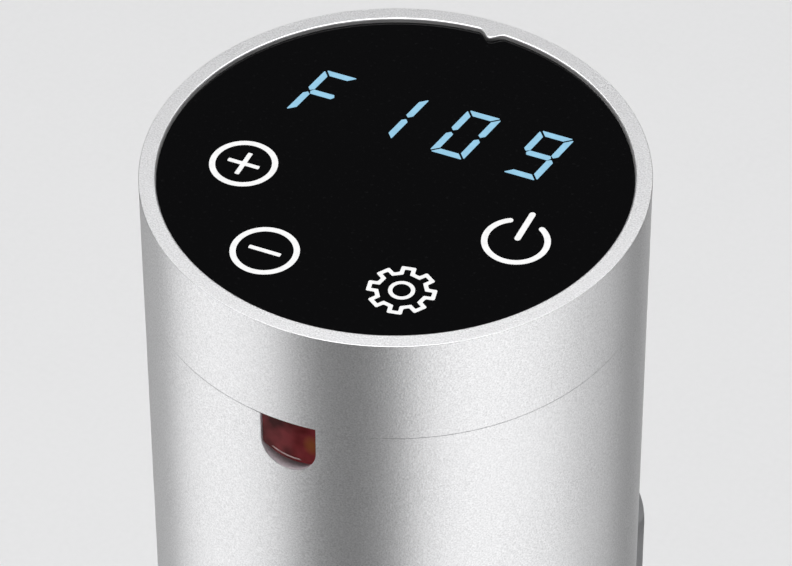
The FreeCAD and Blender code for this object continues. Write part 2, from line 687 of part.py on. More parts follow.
def heater():
    """One tubular element with six upright legs on a circle, joined by bends below and above in turn."""
    legs = [V(*polar(HEATER_CIRCLE, angle), 0) for angle in LEG_ANGLES]
    edges = []
    height = HEATER_TOP
    for k, (leg, after) in enumerate(zip(legs, legs[1:])):
        down = k % 2 == 0
        bend = HEATER_LOW if down else HEATER_HIGH
        reach = (after - leg).Length / 2
        middle = (leg + after) * 0.5
        tip = V(middle.x, middle.y, bend - reach if down else bend + reach)
        edges.append(Part.LineSegment(V(leg.x, leg.y, height), V(leg.x, leg.y, bend)).toShape())
        edges.append(Part.Arc(V(leg.x, leg.y, bend), tip, V(after.x, after.y, bend)).toShape())
        height = bend
    last = legs[-1]
    edges.append(Part.LineSegment(V(last.x, last.y, height), V(last.x, last.y, HEATER_TOP)).toShape())
    section = circle_wire(V(legs[0].x, legs[0].y, HEATER_TOP), V(0, 0, 1), HEATER_R)
    return Part.Wire(edges).makePipeShell([section], True, False)


def heater_nuts():
    nuts = []
    for x, y in heater_end_places():
        nut = hexagon(10.0, FLOOR_TOP, FLOOR_TOP + 4, x, y)
        nuts.append(nut.cut(rod(HEATER_R + SNUG, FLOOR_TOP - PAST, FLOOR_TOP + 4 + PAST, x, y)))
    return group(nuts)


def temperature_probe():
    """Closed steel tube with a round tip that holds the temperature sensor."""
    return pin_with_round_tip(PROBE_R, PROBE_FOOT, SENSOR_TOP, HEATER_CIRCLE, 0)


def level_electrodes():
    """Two pins that feel the lowest water level."""
    return group([pin_with_round_tip(ELECTRODE_R, ELECTRODE_FOOT, SENSOR_TOP, x, y) for x, y in electrode_places()])


def heater_leads():
    """Insulated leads from the two heater ends up past the motor to the terminal block."""
    duct_x, duct_foot, duct_top = 23.0, 228.0, 297.0
    leads = []
    for (x, y), terminal_x, duct_y in zip(heater_end_places(), reversed(TERMINAL_X), (-2.0, -7.0)):
        leads.append(lead([
            (x, y, HEATER_TOP + 0.2), (x, y, HEATER_TOP + 5), (duct_x, duct_y, duct_foot),
            (duct_x, duct_y, duct_top), (terminal_x, TERMINAL_Y, TERMINAL_FOOT - 6),
            (terminal_x, TERMINAL_Y, TERMINAL_FOOT + 4)], 3.0, 1.1))
    return group(leads)


def motor_leads():
    """Two thin leads from the top of the motor to the power board."""
    front, height = -11.0, 299.0
    leads = [lead([(x, front, MOTOR_TOP + 0.1), (x, front, height), (x, BOARD_FACE, height)], 3.0, 0.7)
             for x in (-9.0, -4.0)]
    return group(leads)


# ---- clamp -----------------------------------------------------------------------------------------------
def along_y_slab(half_width, z0, z1, corner, y0, y1, round_foot=False):
    """A slab seen from behind as a plate with round upper corners and, if asked, round lower ones."""
    straight_foot = z0 + corner if round_foot else z0
    pieces = [block(-half_width, half_width, y0, y1, straight_foot, z1 - corner),
              block(-half_width + corner, half_width - corner, y0, y1, z0, z1)]
    centre_heights = [z1 - corner] + ([z0 + corner] if round_foot else [])
    for z in centre_heights:
        for side in (-1, 1):
            pieces.append(rod_along_y(corner, y0, y1, side * (half_width - corner), z))
    return fused(pieces)


def plan_outline(half_width, back, corner):
    """What lies inside a plan outline whose two rear corners are round, over the clamp's height."""
    z0, z1 = TONGUE_FOOT - PAST, CLAMP_TOP + PAST
    pieces = [block(-half_width, half_width, 0, back - corner, z0, z1),
              block(-half_width + corner, half_width - corner, 0, back, z0, z1)]
    for side in (-1, 1):
        pieces.append(rod(corner, z0, z1, side * (half_width - corner), back - corner))
    return fused(pieces)


def countersink(z, face):
    """The space of a countersunk clamp screw whose head lies just under the given face."""
    wide = CLAMP_SCREW_R + SCREW_HEAD + 0.1
    cone = Part.makeCone(CLAMP_SCREW_R + 0.1, wide, SCREW_HEAD, V(0, face - SCREW_HEAD - 0.1, z), V(0, 1, 0))
    shank = rod_along_y(CLAMP_SCREW_R + RUN, 20, face, 0, z)
    return cone.fuse(shank).fuse(rod_along_y(wide, face - 0.1, face + PAST, 0, z))


def clamp_bracket():
    """Housing of the clamp with two cheeks for the pin, and the tongue that backs the pot's wall."""
    roof = 3.5
    pin_half = 16.5
    body = along_y_slab(CLAMP_HALF_WIDTH, CHEEK_FOOT, CLAMP_TOP, 9.4, 15, CLAMP_BACK)
    body = body.common(plan_outline(CLAMP_HALF_WIDTH, CLAMP_BACK, 3.5))
    pocket = block(-POCKET_HALF_WIDTH, POCKET_HALF_WIDTH, POCKET_FLOOR, 60, TONGUE_FOOT, CLAMP_TOP - roof)
    tongue = block(-TONGUE_HALF_WIDTH, TONGUE_HALF_WIDTH, 15, TONGUE_FACE, TONGUE_FOOT, CHEEK_FOOT + 1)
    body = fused([body.cut(pocket), tongue])
    cuts = [rod(BODY_R + SNUG, TONGUE_FOOT - PAST, CLAMP_TOP + PAST),
            block(-40, 40, -40, 22, TONGUE_FOOT - PAST, CLAMP_TOP + PAST),
            rod_along_x(PIN_R + SNUG, -pin_half, pin_half, PIVOT_Y, PIVOT_Z)]
    cuts += [countersink(z, face) for z, face in CLAMP_SCREWS]
    return body.cut(cuts).removeSplitter()


def bracket_screws():
    """Countersunk screws with a cross recess."""
    recess_half, recess_arm, recess_depth = 0.35, 1.6, 0.9
    screws = []
    for z, face in CLAMP_SCREWS:
        head = Part.makeCone(CLAMP_SCREW_R, CLAMP_SCREW_R + SCREW_HEAD, SCREW_HEAD,
                             V(0, face - SCREW_HEAD - 0.1, z), V(0, 1, 0))
        shank = rod_along_y(CLAMP_SCREW_R, 22.5, face - SCREW_HEAD, 0, z)
        recess = [block(-a, a, face - recess_depth, face + PAST, z - b, z + b)
                  for a, b in ((recess_arm, recess_half), (recess_half, recess_arm))]
        screws.append(head.fuse(shank).cut(recess))
    return group(screws)


def clamp_nut_plate():
    """Curved steel plate inside the sleeve with the threads for the bracket's screws."""
    plate = tube(SLEEVE_IN - RUN, NUT_PLATE_IN, 239.0, 304.0).common(block(-10, 10, 15, 30, 230, 310))
    return plate.cut([rod_along_y(CLAMP_SCREW_R + SNUG, 20, 32, 0, z) for z, _ in CLAMP_SCREWS])


def ribbed_pad(half_width, back, face, foot, count):
    """A rubber pad between two planes of constant y, with grooves across its face."""
    spacing, groove_half, margin = 4.0, 0.5, 3.0
    top = foot + 2 * margin + (count - 1) * spacing
    pad = block(-half_width, half_width, min(back, face), max(back, face), foot, top)
    inward = face - PAD_GROOVE if face > back else face + PAD_GROOVE
    outward = face + PAST if face > back else face - PAST
    grooves = []
    for k in range(count):
        z = foot + margin + k * spacing
        grooves.append(block(-half_width - PAST, half_width + PAST, min(inward, outward), max(inward, outward),
                             z - groove_half, z + groove_half))
    return pad.cut(grooves)


def tongue_pad():
    return ribbed_pad(12, TONGUE_FACE, TONGUE_FACE + PAD_THICK, 211, 5)


def jaw_pad():
    return ribbed_pad(10, JAW_FACE, JAW_FACE - PAD_THICK, 213, 4)


def thumb_grooves(low, high):
    """Grip grooves across the thumb tab, between two (y, z) points of its outer face."""
    count, groove_r, groove_half = 4, 0.7, 8.5
    grooves = []
    for k in range(count):
        share = (k + 0.5) / count
        y = low[0] + share * (high[0] - low[0])
        z = low[1] + share * (high[1] - low[1])
        grooves.append(rod_along_x(groove_r, -groove_half, groove_half, y, z))
    return grooves


def clamp_lever():
    """One-piece lever: jaw below, pivot barrel in the middle, ribbed thumb tab above."""
    side_round = 0.4
    thumb_low, thumb_high = (45.6, 289.0), (50.4, 297.5)
    outside = [(37.4, LEVER_FOOT), (39.6, 209.6), (40.4, 231), (43.2, 240), (43.9, 258), (43.2, 281), thumb_low,
               thumb_high, (51.8, 302.6), (50.6, LEVER_TOP)]
    inside = [(49.0, 302.8), (45.4, 296.5), (41.0, 290), (37.6, 286), (35.6, 274), (38.4, 267), (39.2, 259),
              (38.8, 243), (36.2, 235), (JAW_FACE, 232), (JAW_FACE, 209)]
    arm = side_plate(outside + inside, LEVER_HALF_WIDTH)
    barrel = rod_along_x(BARREL_R, -LEVER_HALF_WIDTH, LEVER_HALF_WIDTH, PIVOT_Y, PIVOT_Z)
    outline = along_y_slab(LEVER_HALF_WIDTH, LEVER_FOOT, LEVER_TOP, 6.0, 30, 60, round_foot=True)
    pin_hole = rod_along_x(PIN_R + RUN, -LEVER_HALF_WIDTH - PAST, LEVER_HALF_WIDTH + PAST, PIVOT_Y, PIVOT_Z)
    coil_space = rod_along_x(BARREL_R + 0.5, -SPRING_HALF, SPRING_HALF, PIVOT_Y, PIVOT_Z)
    leg_groove = block(SPRING_HALF - 2.2, SPRING_HALF, 30, PIVOT_Y + 5.2, PIVOT_Z, PIVOT_Z + 11)
    cuts = [pin_hole, coil_space, leg_groove] + thumb_grooves(thumb_low, thumb_high)
    lever = arm.fuse(barrel).common(outline).cut(cuts).removeSplitter()

    def on_a_side(edge):
        return edge.Curve.TypeId == "Part::GeomLine" and abs(abs(edge.CenterOfMass.x) - LEVER_HALF_WIDTH) < SNUG

    return lever.makeFillet(side_round, [edge for edge in lever.Edges if on_a_side(edge)])


def lever_pin():
    return rod_along_x(PIN_R, -16.4, 16.4, PIVOT_Y, PIVOT_Z)


def lever_spring():
    """Torsion spring on the pin. One leg lies on the bracket's floor, the other pushes the thumb tab out."""
    turns, pitch = 6, 1.5
    half = turns * pitch / 2
    coil = coil_spring(SPRING_R, SPRING_WIRE, pitch, turns)
    coil.rotate(V(0, 0, 0), V(0, 1, 0), 90)
    coil.translate(V(-half, PIVOT_Y, PIVOT_Z))
    floor_leg = rod(SPRING_WIRE, PIVOT_Z - 12, PIVOT_Z, -half, PIVOT_Y - SPRING_R)
    tab_leg = rod(SPRING_WIRE, PIVOT_Z, PIVOT_Z + 9, half, PIVOT_Y - SPRING_R)
    return coil.fuse(floor_leg).fuse(tab_leg)


# ---- skirt and base cap --------------------------------------------------------------------------------------
def inlet_slots():
    """Tall round-ended slots that let water in beside the heater."""
    half, foot, top = 1.7, 58.0, 104.0
    slot = block(20, 35, -half, half, foot, top)
    for z in (foot, top):
        slot = slot.fuse(rod_along_x(half, 20, 35, 0, z))
    return ring_of(slot, 12, 15)


def outlet_slots():
    """Low slots in three rows that let the stirred water out."""
    half_width, height, row_pitch, foot = 8.5, 3.2, 5.2, 26.0
    slots = []
    for row in range(3):
        z = foot + row * row_pitch
        slots += ring_of(block(20, 35, -half_width, half_width, z, z + height), 6)
    return slots


def level_lines():
    """Two engraved lines in front: the lowest and the highest water level."""
    depth, line = 0.2, 0.7
    lines = []
    for z in (120.0, 160.0):
        ring = tube(SKIRT_R + PAST, SKIRT_R - depth, z, z + line)
        lines.append(ring.common(block(-9, 9, -40, 0, z - PAST, z + 2)))
    return lines


def skirt_tube():
    """Steel tube around the heater."""
    return tube(SKIRT_R, SKIRT_IN, BASE_SEAM, COLLAR_TOP - 1).cut(inlet_slots() + outlet_slots() + level_lines())


def skirt_collar():
    """Black grip ring around the skirt's mouth."""
    lip_foot = COLLAR_TOP - 1 + SNUG
    collar = turned([
        (SKIRT_R + SNUG, COLLAR_FOOT), (COLLAR_R - 0.8, COLLAR_FOOT), (COLLAR_R, COLLAR_FOOT + 1.6),
        (COLLAR_R, COLLAR_TOP - 0.6), (COLLAR_R - 0.6, COLLAR_TOP), (SKIRT_IN, COLLAR_TOP), (SKIRT_IN, lip_foot),
        (SKIRT_R + SNUG, lip_foot)])
    grooves = []
    for k in range(4):
        z = COLLAR_FOOT + 5 + 2.6 * k
        grooves.append(tube(COLLAR_R + PAST, COLLAR_R - 0.5, z, z + 0.9))
    return collar.cut(grooves)


def base_cap():
    """Black cap in the skirt's lower end. It stands flat and lets water through its underside."""
    floor, plug_top, wall_in = 3.0, 21.6, SKIRT_IN - 1.9
    shoulder = BASE_SEAM - 0.1
    plug_r = SKIRT_IN - FIT
    cap = turned([
        (0, 0), (SKIRT_R - 1.8, 0), (SKIRT_R, 1.8), (SKIRT_R, shoulder), (plug_r, shoulder),
        (plug_r, plug_top - 0.6), (plug_r - 0.6, plug_top), (wall_in, plug_top), (wall_in, floor), (0, floor)])
    half = 1.5
    floor_slot = fused([block(9, 21, -half, half, -PAST, floor + PAST), rod(half, -PAST, floor + PAST, 9, 0),
                        rod(half, -PAST, floor + PAST, 21, 0)])
    side_slot = block(24, 30, -half, half, 5.0, 10.5)
    return cap.cut(ring_of(floor_slot, 12) + ring_of(side_slot, 12, 15))


NODES = [
    cap_bezel, touch_glass, glass_gasket, display_module, display_segments, touch_springs, control_board,
    control_chips, buzzer, board_screws, neck_ring, neck_seal, status_lens, status_led,
    body_sleeve, cord_gland, gland_nut, inner_chassis, power_board, board_fasteners, transformer, relay,
    filter_capacitors, terminal_block,
    motor_plate, motor_screws, motor_can, motor_magnets, motor_bearings, motor_rotor, drive_shaft, impeller,
    impeller_nut,
    bulkhead, bulkhead_seal, skirt_seal, shaft_seal, guide_tube, shaft_bushing, pump_plate, heater, heater_nuts,
    temperature_probe, level_electrodes, heater_leads, motor_leads,
    clamp_bracket, bracket_screws, clamp_nut_plate, tongue_pad, jaw_pad, clamp_lever, lever_pin, lever_spring,
    skirt_tube, skirt_collar, base_cap]


def main():
    os.makedirs("parts", exist_ok=True)
    for make in NODES:
        shape = make()
        print(make.__name__, len(shape.Solids), "solids", round(shape.Volume), "mm3",
              "valid" if shape.isValid() else "INVALID")
        shape.exportStep(f"parts/{make.__name__}.step")


main()
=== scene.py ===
"""Sous vide circulator: the looks of every piece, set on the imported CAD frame.

Lengths are millimetres in the row frame: +Z up, the status window faces -Y, the clamp is at +Y.
Places and sizes come from the boxes of the CAD nodes. Pieces that need finer shapes than their CAD
solids are built here and stand for them; every other node keeps its mesh and gets a procedural finish.
"""
import math

import bmesh
import bpy
from mathutils import Matrix, Vector, geometry, kdtree


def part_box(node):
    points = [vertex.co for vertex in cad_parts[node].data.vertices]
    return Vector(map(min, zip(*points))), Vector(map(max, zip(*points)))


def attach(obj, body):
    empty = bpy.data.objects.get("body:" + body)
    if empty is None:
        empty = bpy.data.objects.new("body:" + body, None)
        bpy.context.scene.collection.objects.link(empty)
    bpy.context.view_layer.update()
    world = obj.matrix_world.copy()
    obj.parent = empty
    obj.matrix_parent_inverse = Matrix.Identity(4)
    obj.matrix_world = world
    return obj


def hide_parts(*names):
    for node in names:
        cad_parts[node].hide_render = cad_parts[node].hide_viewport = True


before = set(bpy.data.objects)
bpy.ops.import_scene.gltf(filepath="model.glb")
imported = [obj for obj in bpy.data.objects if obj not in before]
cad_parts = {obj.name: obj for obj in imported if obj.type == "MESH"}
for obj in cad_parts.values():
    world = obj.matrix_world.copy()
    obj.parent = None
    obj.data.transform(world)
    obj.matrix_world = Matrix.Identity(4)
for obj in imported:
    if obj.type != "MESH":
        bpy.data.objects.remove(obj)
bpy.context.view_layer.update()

MM = 0.001


def low(node):
    """The lower corner of a CAD node's box, in millimetres."""
    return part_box(node)[0] / MM


def high(node):
    """The upper corner of a CAD node's box, in millimetres."""
    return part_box(node)[1] / MM


# ---- head, from the frame -------------------------------------------------------------------------
BODY_R = high("cap_bezel").x
HEIGHT = high("cap_bezel").z
SEAM = low("cap_bezel").z  # where the cap meets the sleeve
SLEEVE_FOOT = low("body_sleeve").z
LENS_R = high("neck_ring").x + 0.05  # of the face of the lens's plate, close behind the sleeve
SLEEVE_IN = LENS_R + 0.05
GLASS_R = high("touch_glass").x
GLASS_TOP = high("touch_glass").z
GLASS_FOOT = low("touch_glass").z
SEAT_R = GLASS_R + 0.1  # the glass is this much smaller than its seat
LEDGE_TOP = low("glass_gasket").z
LEDGE_IN = -low("glass_gasket").x - 2.0
FLOOR = low("base_cap").z

# ---- holes in the back of the sleeve --------------------------------------------------------------
GLAND_Z = (low("cord_gland").z + high("cord_gland").z) / 2
GLAND_BORE_R = 6.02
SCREW_BORE_R = 2.05
SCREW_HEAD_R = 3.2
SCREWS_Z = (low("bracket_screws").z + SCREW_HEAD_R, high("bracket_screws").z - SCREW_HEAD_R)

# ---- display and keys -----------------------------------------------------------------------------
DIGITS = 4
DIGIT_PITCH = (high("display_module").x - low("display_module").x) / DIGITS
DIGIT_TRIM = 0.33  # the lit segments stop this far above the foot of their module
DIGIT_Y = (low("display_segments").y + high("display_segments").y + DIGIT_TRIM) / 2
DIGIT_HALF = (high("display_segments").y - low("display_segments").y - DIGIT_TRIM) / 2
SPRING_R = 2.95  # of the spring under each touch key
SIDE_KEY = Vector((high("touch_springs").x - SPRING_R, -5.35))  # plus and power
FRONT_KEY = Vector((8.55, -18.2))  # minus and gear
PRINT = 0.03  # how far the prints stand above and reach below the face of the glass
ART_TURN = 1.0  # degrees: the glass is mounted turned by this much
ART_SHIFT = 0.13  # and its prints sit this far to the right
ART_PLACE = Matrix.Rotation(math.radians(ART_TURN), 4, "Z") @ Matrix.Translation((ART_SHIFT * MM, 0, 0))

# ---- window ---------------------------------------------------------------------------------------
WINDOW_HALF = 3.5
WINDOW_HEIGHT = 7.4
WINDOW_CENTRE = SEAM - WINDOW_HEIGHT + WINDOW_HALF
BOSS_R = BODY_R - 0.3  # how far out the boss of the lens stands in its slot
BOSS_FOOT_R = 7.5  # of the curve that the boss ends in
BOSS_FOOT_X = 1.1
BOSS_FOOT_Z = WINDOW_CENTRE - WINDOW_HALF + 1.2 + BOSS_FOOT_R

# ---- nub on the rim -------------------------------------------------------------------------------
NUB_DEPTH = 1.15
NUB_HALF = 1.75
NUB_ZONE = math.radians(4.5)  # where the turned outlines are finely divided, each side of the nub
NUB_STEPS = 48
TURN_STEPS = 240


# ---- meshes ---------------------------------------------------------------------------------------
def mesh_object(name, points, faces):
    """An object whose mesh joins millimetre points; the faces are turned to look outwards."""
    mesh = bpy.data.meshes.new(name)
    work = bmesh.new()
    corners = [work.verts.new(Vector(point) * MM) for point in points]
    for face in faces:
        work.faces.new([corners[k] for k in face])
    bmesh.ops.remove_doubles(work, verts=work.verts, dist=1e-8)
    bmesh.ops.recalc_face_normals(work, faces=work.faces)
    work.to_mesh(mesh)
    work.free()
    made = bpy.data.objects.new(name, mesh)
    bpy.context.scene.collection.objects.link(made)
    return made


def joined(name, parts):
    """One object from several, which are used up."""
    work = bmesh.new()
    for part in parts:
        work.from_mesh(part.data)
        bpy.data.objects.remove(part)
    mesh = bpy.data.meshes.new(name)
    work.to_mesh(mesh)
    work.free()
    made = bpy.data.objects.new(name, mesh)
    bpy.context.scene.collection.objects.link(made)
    return made


def soften(made, width, steps=2):
    """Rounds the sharp edges."""
    work = bmesh.new()
    work.from_mesh(made.data)
    limit = math.radians(35)
    edges = [edge for edge in work.edges if edge.is_manifold and edge.calc_face_angle() > limit]
    bmesh.ops.bevel(work, geom=edges, offset=width * MM, offset_type="OFFSET", segments=steps,
                    profile=0.5, affect="EDGES", clamp_overlap=True)
    work.to_mesh(made.data)
    work.free()
    return made


def smooth(made, walls=()):
    """Gives each vertex one normal, ruled by its largest faces, so flats stay flat beside rounded edges.

    On a wall of revolution about Z with one of the given radii the normal is exactly radial.
    """
    radial, on_wall = 0.7, 0.06  # how nearly radial a normal, and how near a wall a vertex, is for that
    mesh = made.data
    sums = [Vector() for _ in mesh.vertices]
    for face in mesh.polygons:
        pull = face.normal * face.area ** 2
        for k in face.vertices:
            sums[k] += pull
    normals = []
    for vertex, total in zip(mesh.vertices, sums):
        normal = total.normalized() if total.length > 0 else vertex.normal.copy()
        outward = Vector((vertex.co.x, vertex.co.y, 0))
        radius = outward.length / MM
        outward.normalize()
        along = normal.dot(outward)
        if abs(along) > radial and any(abs(radius - wall) < on_wall for wall in walls):
            normal = outward if along > 0 else -outward
        normals.append(normal)
    mesh.polygons.foreach_set("use_smooth", [True] * len(mesh.polygons))
    mesh.normals_split_custom_set_from_vertices(normals)
    return made


def rounded(corners, steps):
    """A closed outline from (a, b, radius) corners, each replaced by an arc that meets both its sides."""
    points = []
    for k, (a, b, radius) in enumerate(corners):
        here = Vector((a, b))
        if radius == 0:
            points.append((a, b))
            continue
        back = (Vector(corners[k - 1][:2]) - here).normalized()
        onward = (Vector(corners[(k + 1) % len(corners)][:2]) - here).normalized()
        half = back.angle(onward) / 2
        centre = here + (back + onward).normalized() * (radius / math.sin(half))
        start = here + back * (radius / math.tan(half)) - centre
        end = here + onward * (radius / math.tan(half)) - centre
        first = math.atan2(start.y, start.x)
        turn = (math.atan2(end.y, end.x) - first + math.pi) % (2 * math.pi) - math.pi
        for step in range(steps + 1):
            angle = first + turn * step / steps
            points.append((centre.x + radius * math.cos(angle), centre.y + radius * math.sin(angle)))
    return points


def turn_angles():
    """Angles once round from the back, closer together across the nub."""
    angles = [-NUB_ZONE + 2 * NUB_ZONE * k / NUB_STEPS for k in range(NUB_STEPS)]
    return angles + [NUB_ZONE + (2 * math.pi - 2 * NUB_ZONE) * k / TURN_STEPS for k in range(TURN_STEPS)]


def nub(angle):
    """How far the rim's nub reaches in at an angle measured from the back."""
    across = abs(angle) * SEAT_R
    if across > NUB_HALF:
        return 0.0
    return NUB_DEPTH * (0.5 + 0.5 * math.cos(math.pi * across / NUB_HALF))


def turned(name, outline, follows):
    """A ring turned about Z from a closed (radius, height) outline.

    Where follows(radius, height) is true, the outline moves in with the nub.
    """
    angles = turn_angles()
    points = []
    for angle in angles:
        for r, z in outline:
            reach = r - nub(angle) if follows(r, z) else r
            points.append((-reach * math.sin(angle), reach * math.cos(angle), z))
    count = len(outline)
    faces = []
    for k in range(len(angles)):
        here, there = k * count, (k + 1) % len(angles) * count
        for j in range(count):
            following = (j + 1) % count
            faces.append((here + j, there + j, there + following, here + following))
    return mesh_object(name, points, faces)


def circle(radius, x=0.0, y=0.0, steps=64):
    """Points once round a circle."""
    angles = [2 * math.pi * k / steps for k in range(steps)]
    return [(x + radius * math.cos(angle), y + radius * math.sin(angle)) for angle in angles]


def arc(radius, first, last, x, y, steps):
    """Points of an arc between two angles in degrees."""
    angles = [math.radians(first + (last - first) * k / steps) for k in range(steps + 1)]
    return [(x + radius * math.cos(angle), y + radius * math.sin(angle)) for angle in angles]


def divided(outline, step):
    """The outline with its long sides cut into equal pieces no longer than step."""
    points = []
    for (x0, y0), (x1, y1) in zip(outline, outline[1:] + outline[:1]):
        pieces = max(1, math.ceil(math.hypot(x1 - x0, y1 - y0) / step))
        points += [(x0 + (x1 - x0) * k / pieces, y0 + (y1 - y0) * k / pieces) for k in range(pieces)]
    return points


def inside(x, y, outline):
    """Whether a point of the plane lies inside a closed outline."""
    odd = False
    for (x0, y0), (x1, y1) in zip(outline, outline[1:] + outline[:1]):
        if (y0 > y) != (y1 > y) and x < (x1 - x0) * (y - y0) / (y1 - y0) + x0:
            odd = not odd
    return odd


def in_box(x, y, outline):
    """Whether a point lies inside an outline's box, a quick test to make before the full one."""
    xs = [point[0] for point in outline]
    ys = [point[1] for point in outline]
    return min(xs) < x < max(xs) and min(ys) < y < max(ys)


def spread_points(ring, pitch):
    """Points of a regular grid over the ring's box, but for those close to the ring's own points."""
    near = kdtree.KDTree(len(ring))
    for k, point in enumerate(ring):
        near.insert(point.to_3d(), k)
    near.balance()
    left, right = min(point.x for point in ring), max(point.x for point in ring)
    foot, top = min(point.y for point in ring), max(point.y for point in ring)
    across, up = max(1, round((right - left) / pitch[0])), max(1, round((top - foot) / pitch[1]))
    grid = []
    for i in range(1, across):
        for j in range(1, up):
            point = Vector((left + (right - left) * i / across, foot + (top - foot) * j / up))
            if near.find(point.to_3d())[2] > 0.4 * pitch[0]:
                grid.append(point)
    return grid


def filled(outlines, pitch):
    """Flat points, and the triangles that cover what lies inside the first outline but not in the others."""
    ring = [Vector(point) for outline in outlines for point in outline]
    edges = []
    for outline in outlines:
        first = len(edges)
        edges += [(first + k, first + (k + 1) % len(outline)) for k in range(len(outline))]
    flat, _, triangles, *_ = geometry.delaunay_2d_cdt(ring + spread_points(ring, pitch), edges, [], 0, 1e-7)
    border, *holes = outlines
    kept = []
    for triangle in triangles:
        x = sum(flat[k].x for k in triangle) / 3
        y = sum(flat[k].y for k in triangle) / 3
        in_hole = any(in_box(x, y, hole) and inside(x, y, hole) for hole in holes)
        if inside(x, y, border) and not in_hole:
            kept.append(tuple(triangle))
    return flat, kept


def border_edges(triangles):
    """The edges that only one triangle has."""
    uses = {}
    for triangle in triangles:
        for k in range(3):
            edge = (triangle[k], triangle[(k + 1) % 3])
            key = (min(edge), max(edge))
            uses.setdefault(key, []).append(edge)
    return [pair[0] for pair in uses.values() if len(pair) == 1]


def sheet(name, outlines, front, back, pitch, closed_round=False):
    """A sheet with thickness: what lies inside the first outline and outside the others.

    The outlines are drawn flat. front and back give the place in space of a flat point on each face, and
    pitch is the spacing of the points between the outlines. A sheet that is closed round joins its left
    and right ends.
    """
    flat, triangles = filled(outlines, pitch)
    ends = [side(point.x for point in flat) for side in (min, max)]
    count = len(flat)
    faces = triangles + [tuple(k + count for k in reversed(triangle)) for triangle in triangles]
    for a, b in border_edges(triangles):
        on_end = any(abs(flat[a].x - end) < 1e-6 and abs(flat[b].x - end) < 1e-6 for end in ends)
        if not (closed_round and on_end):
            faces.append((b, a, a + count, b + count))
    points = [front(*point) for point in flat] + [back(*point) for point in flat]
    return mesh_object(name, points, faces)


def level(z):
    """Lays a drawing flat at a height."""
    return lambda x, y: (x, y, z)


def rolled(radius, drawn):
    """Rolls a drawing made for one radius onto another; the front is at zero and +X follows the drawing."""
    def place(across, z):
        angle = across / drawn
        return radius * math.sin(angle), -radius * math.cos(angle), z
    return place


def unrolled(x, radius):
    """Where a straight cut at x meets a cylinder, along the unrolled wall."""
    return radius * math.asin(x / radius)


# ---- materials ------------------------------------------------------------------------------------
def new_material(name, colour, metallic, roughness, **sockets):
    """A Principled material. What is the same all over the surface is set on the shader's own sockets."""
    made = bpy.data.materials.new(name + "_finish")
    made.use_nodes = True
    shader = made.node_tree.nodes["Principled BSDF"]
    shader.inputs["Base Color"].default_value = (*colour, 1)
    shader.inputs["Metallic"].default_value = metallic
    shader.inputs["Roughness"].default_value = roughness
    for socket, value in sockets.items():
        shader.inputs[socket.replace("_", " ")].default_value = value
    return made


def grain(material, size, detail, stretch=(1, 1, 1), seed=0.0):
    """Noise whose grains have the given size in millimetres, from about 0 to 1."""
    tree = material.node_tree
    place = tree.nodes.new("ShaderNodeTexCoord")
    mapping = tree.nodes.new("ShaderNodeMapping")
    mapping.inputs["Scale"].default_value = stretch
    mapping.inputs["Location"].default_value = (seed, seed, seed)
    texture = tree.nodes.new("ShaderNodeTexNoise")
    texture.inputs["Scale"].default_value = 1 / (size * MM)
    texture.inputs["Detail"].default_value = detail
    tree.links.new(place.outputs["Object"], mapping.inputs["Vector"])
    tree.links.new(mapping.outputs["Vector"], texture.inputs["Vector"])
    return texture.outputs["Fac"]


def ranged(material, value, lowest, highest, start=0.3, end=0.7):
    """Maps a value between start and end onto the range from lowest to highest."""
    tree = material.node_tree
    node = tree.nodes.new("ShaderNodeMapRange")
    node.inputs["From Min"].default_value = start
    node.inputs["From Max"].default_value = end
    node.inputs["To Min"].default_value = lowest
    node.inputs["To Max"].default_value = highest
    tree.links.new(value, node.inputs["Value"])
    return node.outputs["Result"]


def shade(material, factor, dark, light):
    """A colour between two, by a factor from 0 to 1. Each may be a colour or another node's output."""
    by_factor, first, second, result = 0, 6, 7, 2  # the node's colour sockets share names with hidden ones
    tree = material.node_tree
    node = tree.nodes.new("ShaderNodeMix")
    node.data_type = "RGBA"
    for socket, colour in ((first, dark), (second, light)):
        if isinstance(colour, tuple):
            node.inputs[socket].default_value = (*colour, 1)
        else:
            tree.links.new(colour, node.inputs[socket])
    tree.links.new(factor, node.inputs[by_factor])
    return node.outputs[result]


def set_input(material, socket, value):
    """Feeds one socket of the shader."""
    tree = material.node_tree
    tree.links.new(value, tree.nodes["Principled BSDF"].inputs[socket])


def add_bump(material, heights):
    """Chains bumps from (height, depth in millimetres) pairs into the shader's normal."""
    tree = material.node_tree
    normal = None
    for value, depth in heights:
        node = tree.nodes.new("ShaderNodeBump")
        node.inputs["Distance"].default_value = depth * MM
        tree.links.new(value, node.inputs["Height"])
        if normal is not None:
            tree.links.new(normal, node.inputs["Normal"])
        normal = node.outputs["Normal"]
    set_input(material, "Normal", normal)


def tinted(colour, share):
    """The colour made darker or lighter by a share."""
    return tuple(min(1.0, channel * share) for channel in colour)


def plain_finish(name, colour, grain_size, contrast, rough, depth, metallic=0.0, stretch=(1, 1, 1)):
    """A finish with fine grain in its colour, roughness and height, and a slow drift of shade over it.

    The grain's size and depth are in millimetres, contrast is how far its shade strays from the colour, and
    rough is the lowest and the highest roughness.
    """
    made = new_material(name, colour, metallic, rough[0])
    fine = grain(made, grain_size, 3.0, stretch)
    drift = grain(made, 18.0, 2.0, seed=3.7)
    darker, lighter = tinted(colour, 1 - contrast), tinted(colour, 1 + contrast)
    speckled = shade(made, ranged(made, fine, 0, 1), darker, lighter)
    worn = shade(made, ranged(made, drift, 0, 0.35), speckled, tinted(colour, 1 + 1.6 * contrast))
    set_input(made, "Base Color", worn)
    set_input(made, "Roughness", ranged(made, grain(made, grain_size * 2.3, 2.0, stretch, 8.1), *rough))
    add_bump(made, [(fine, depth)])
    return made


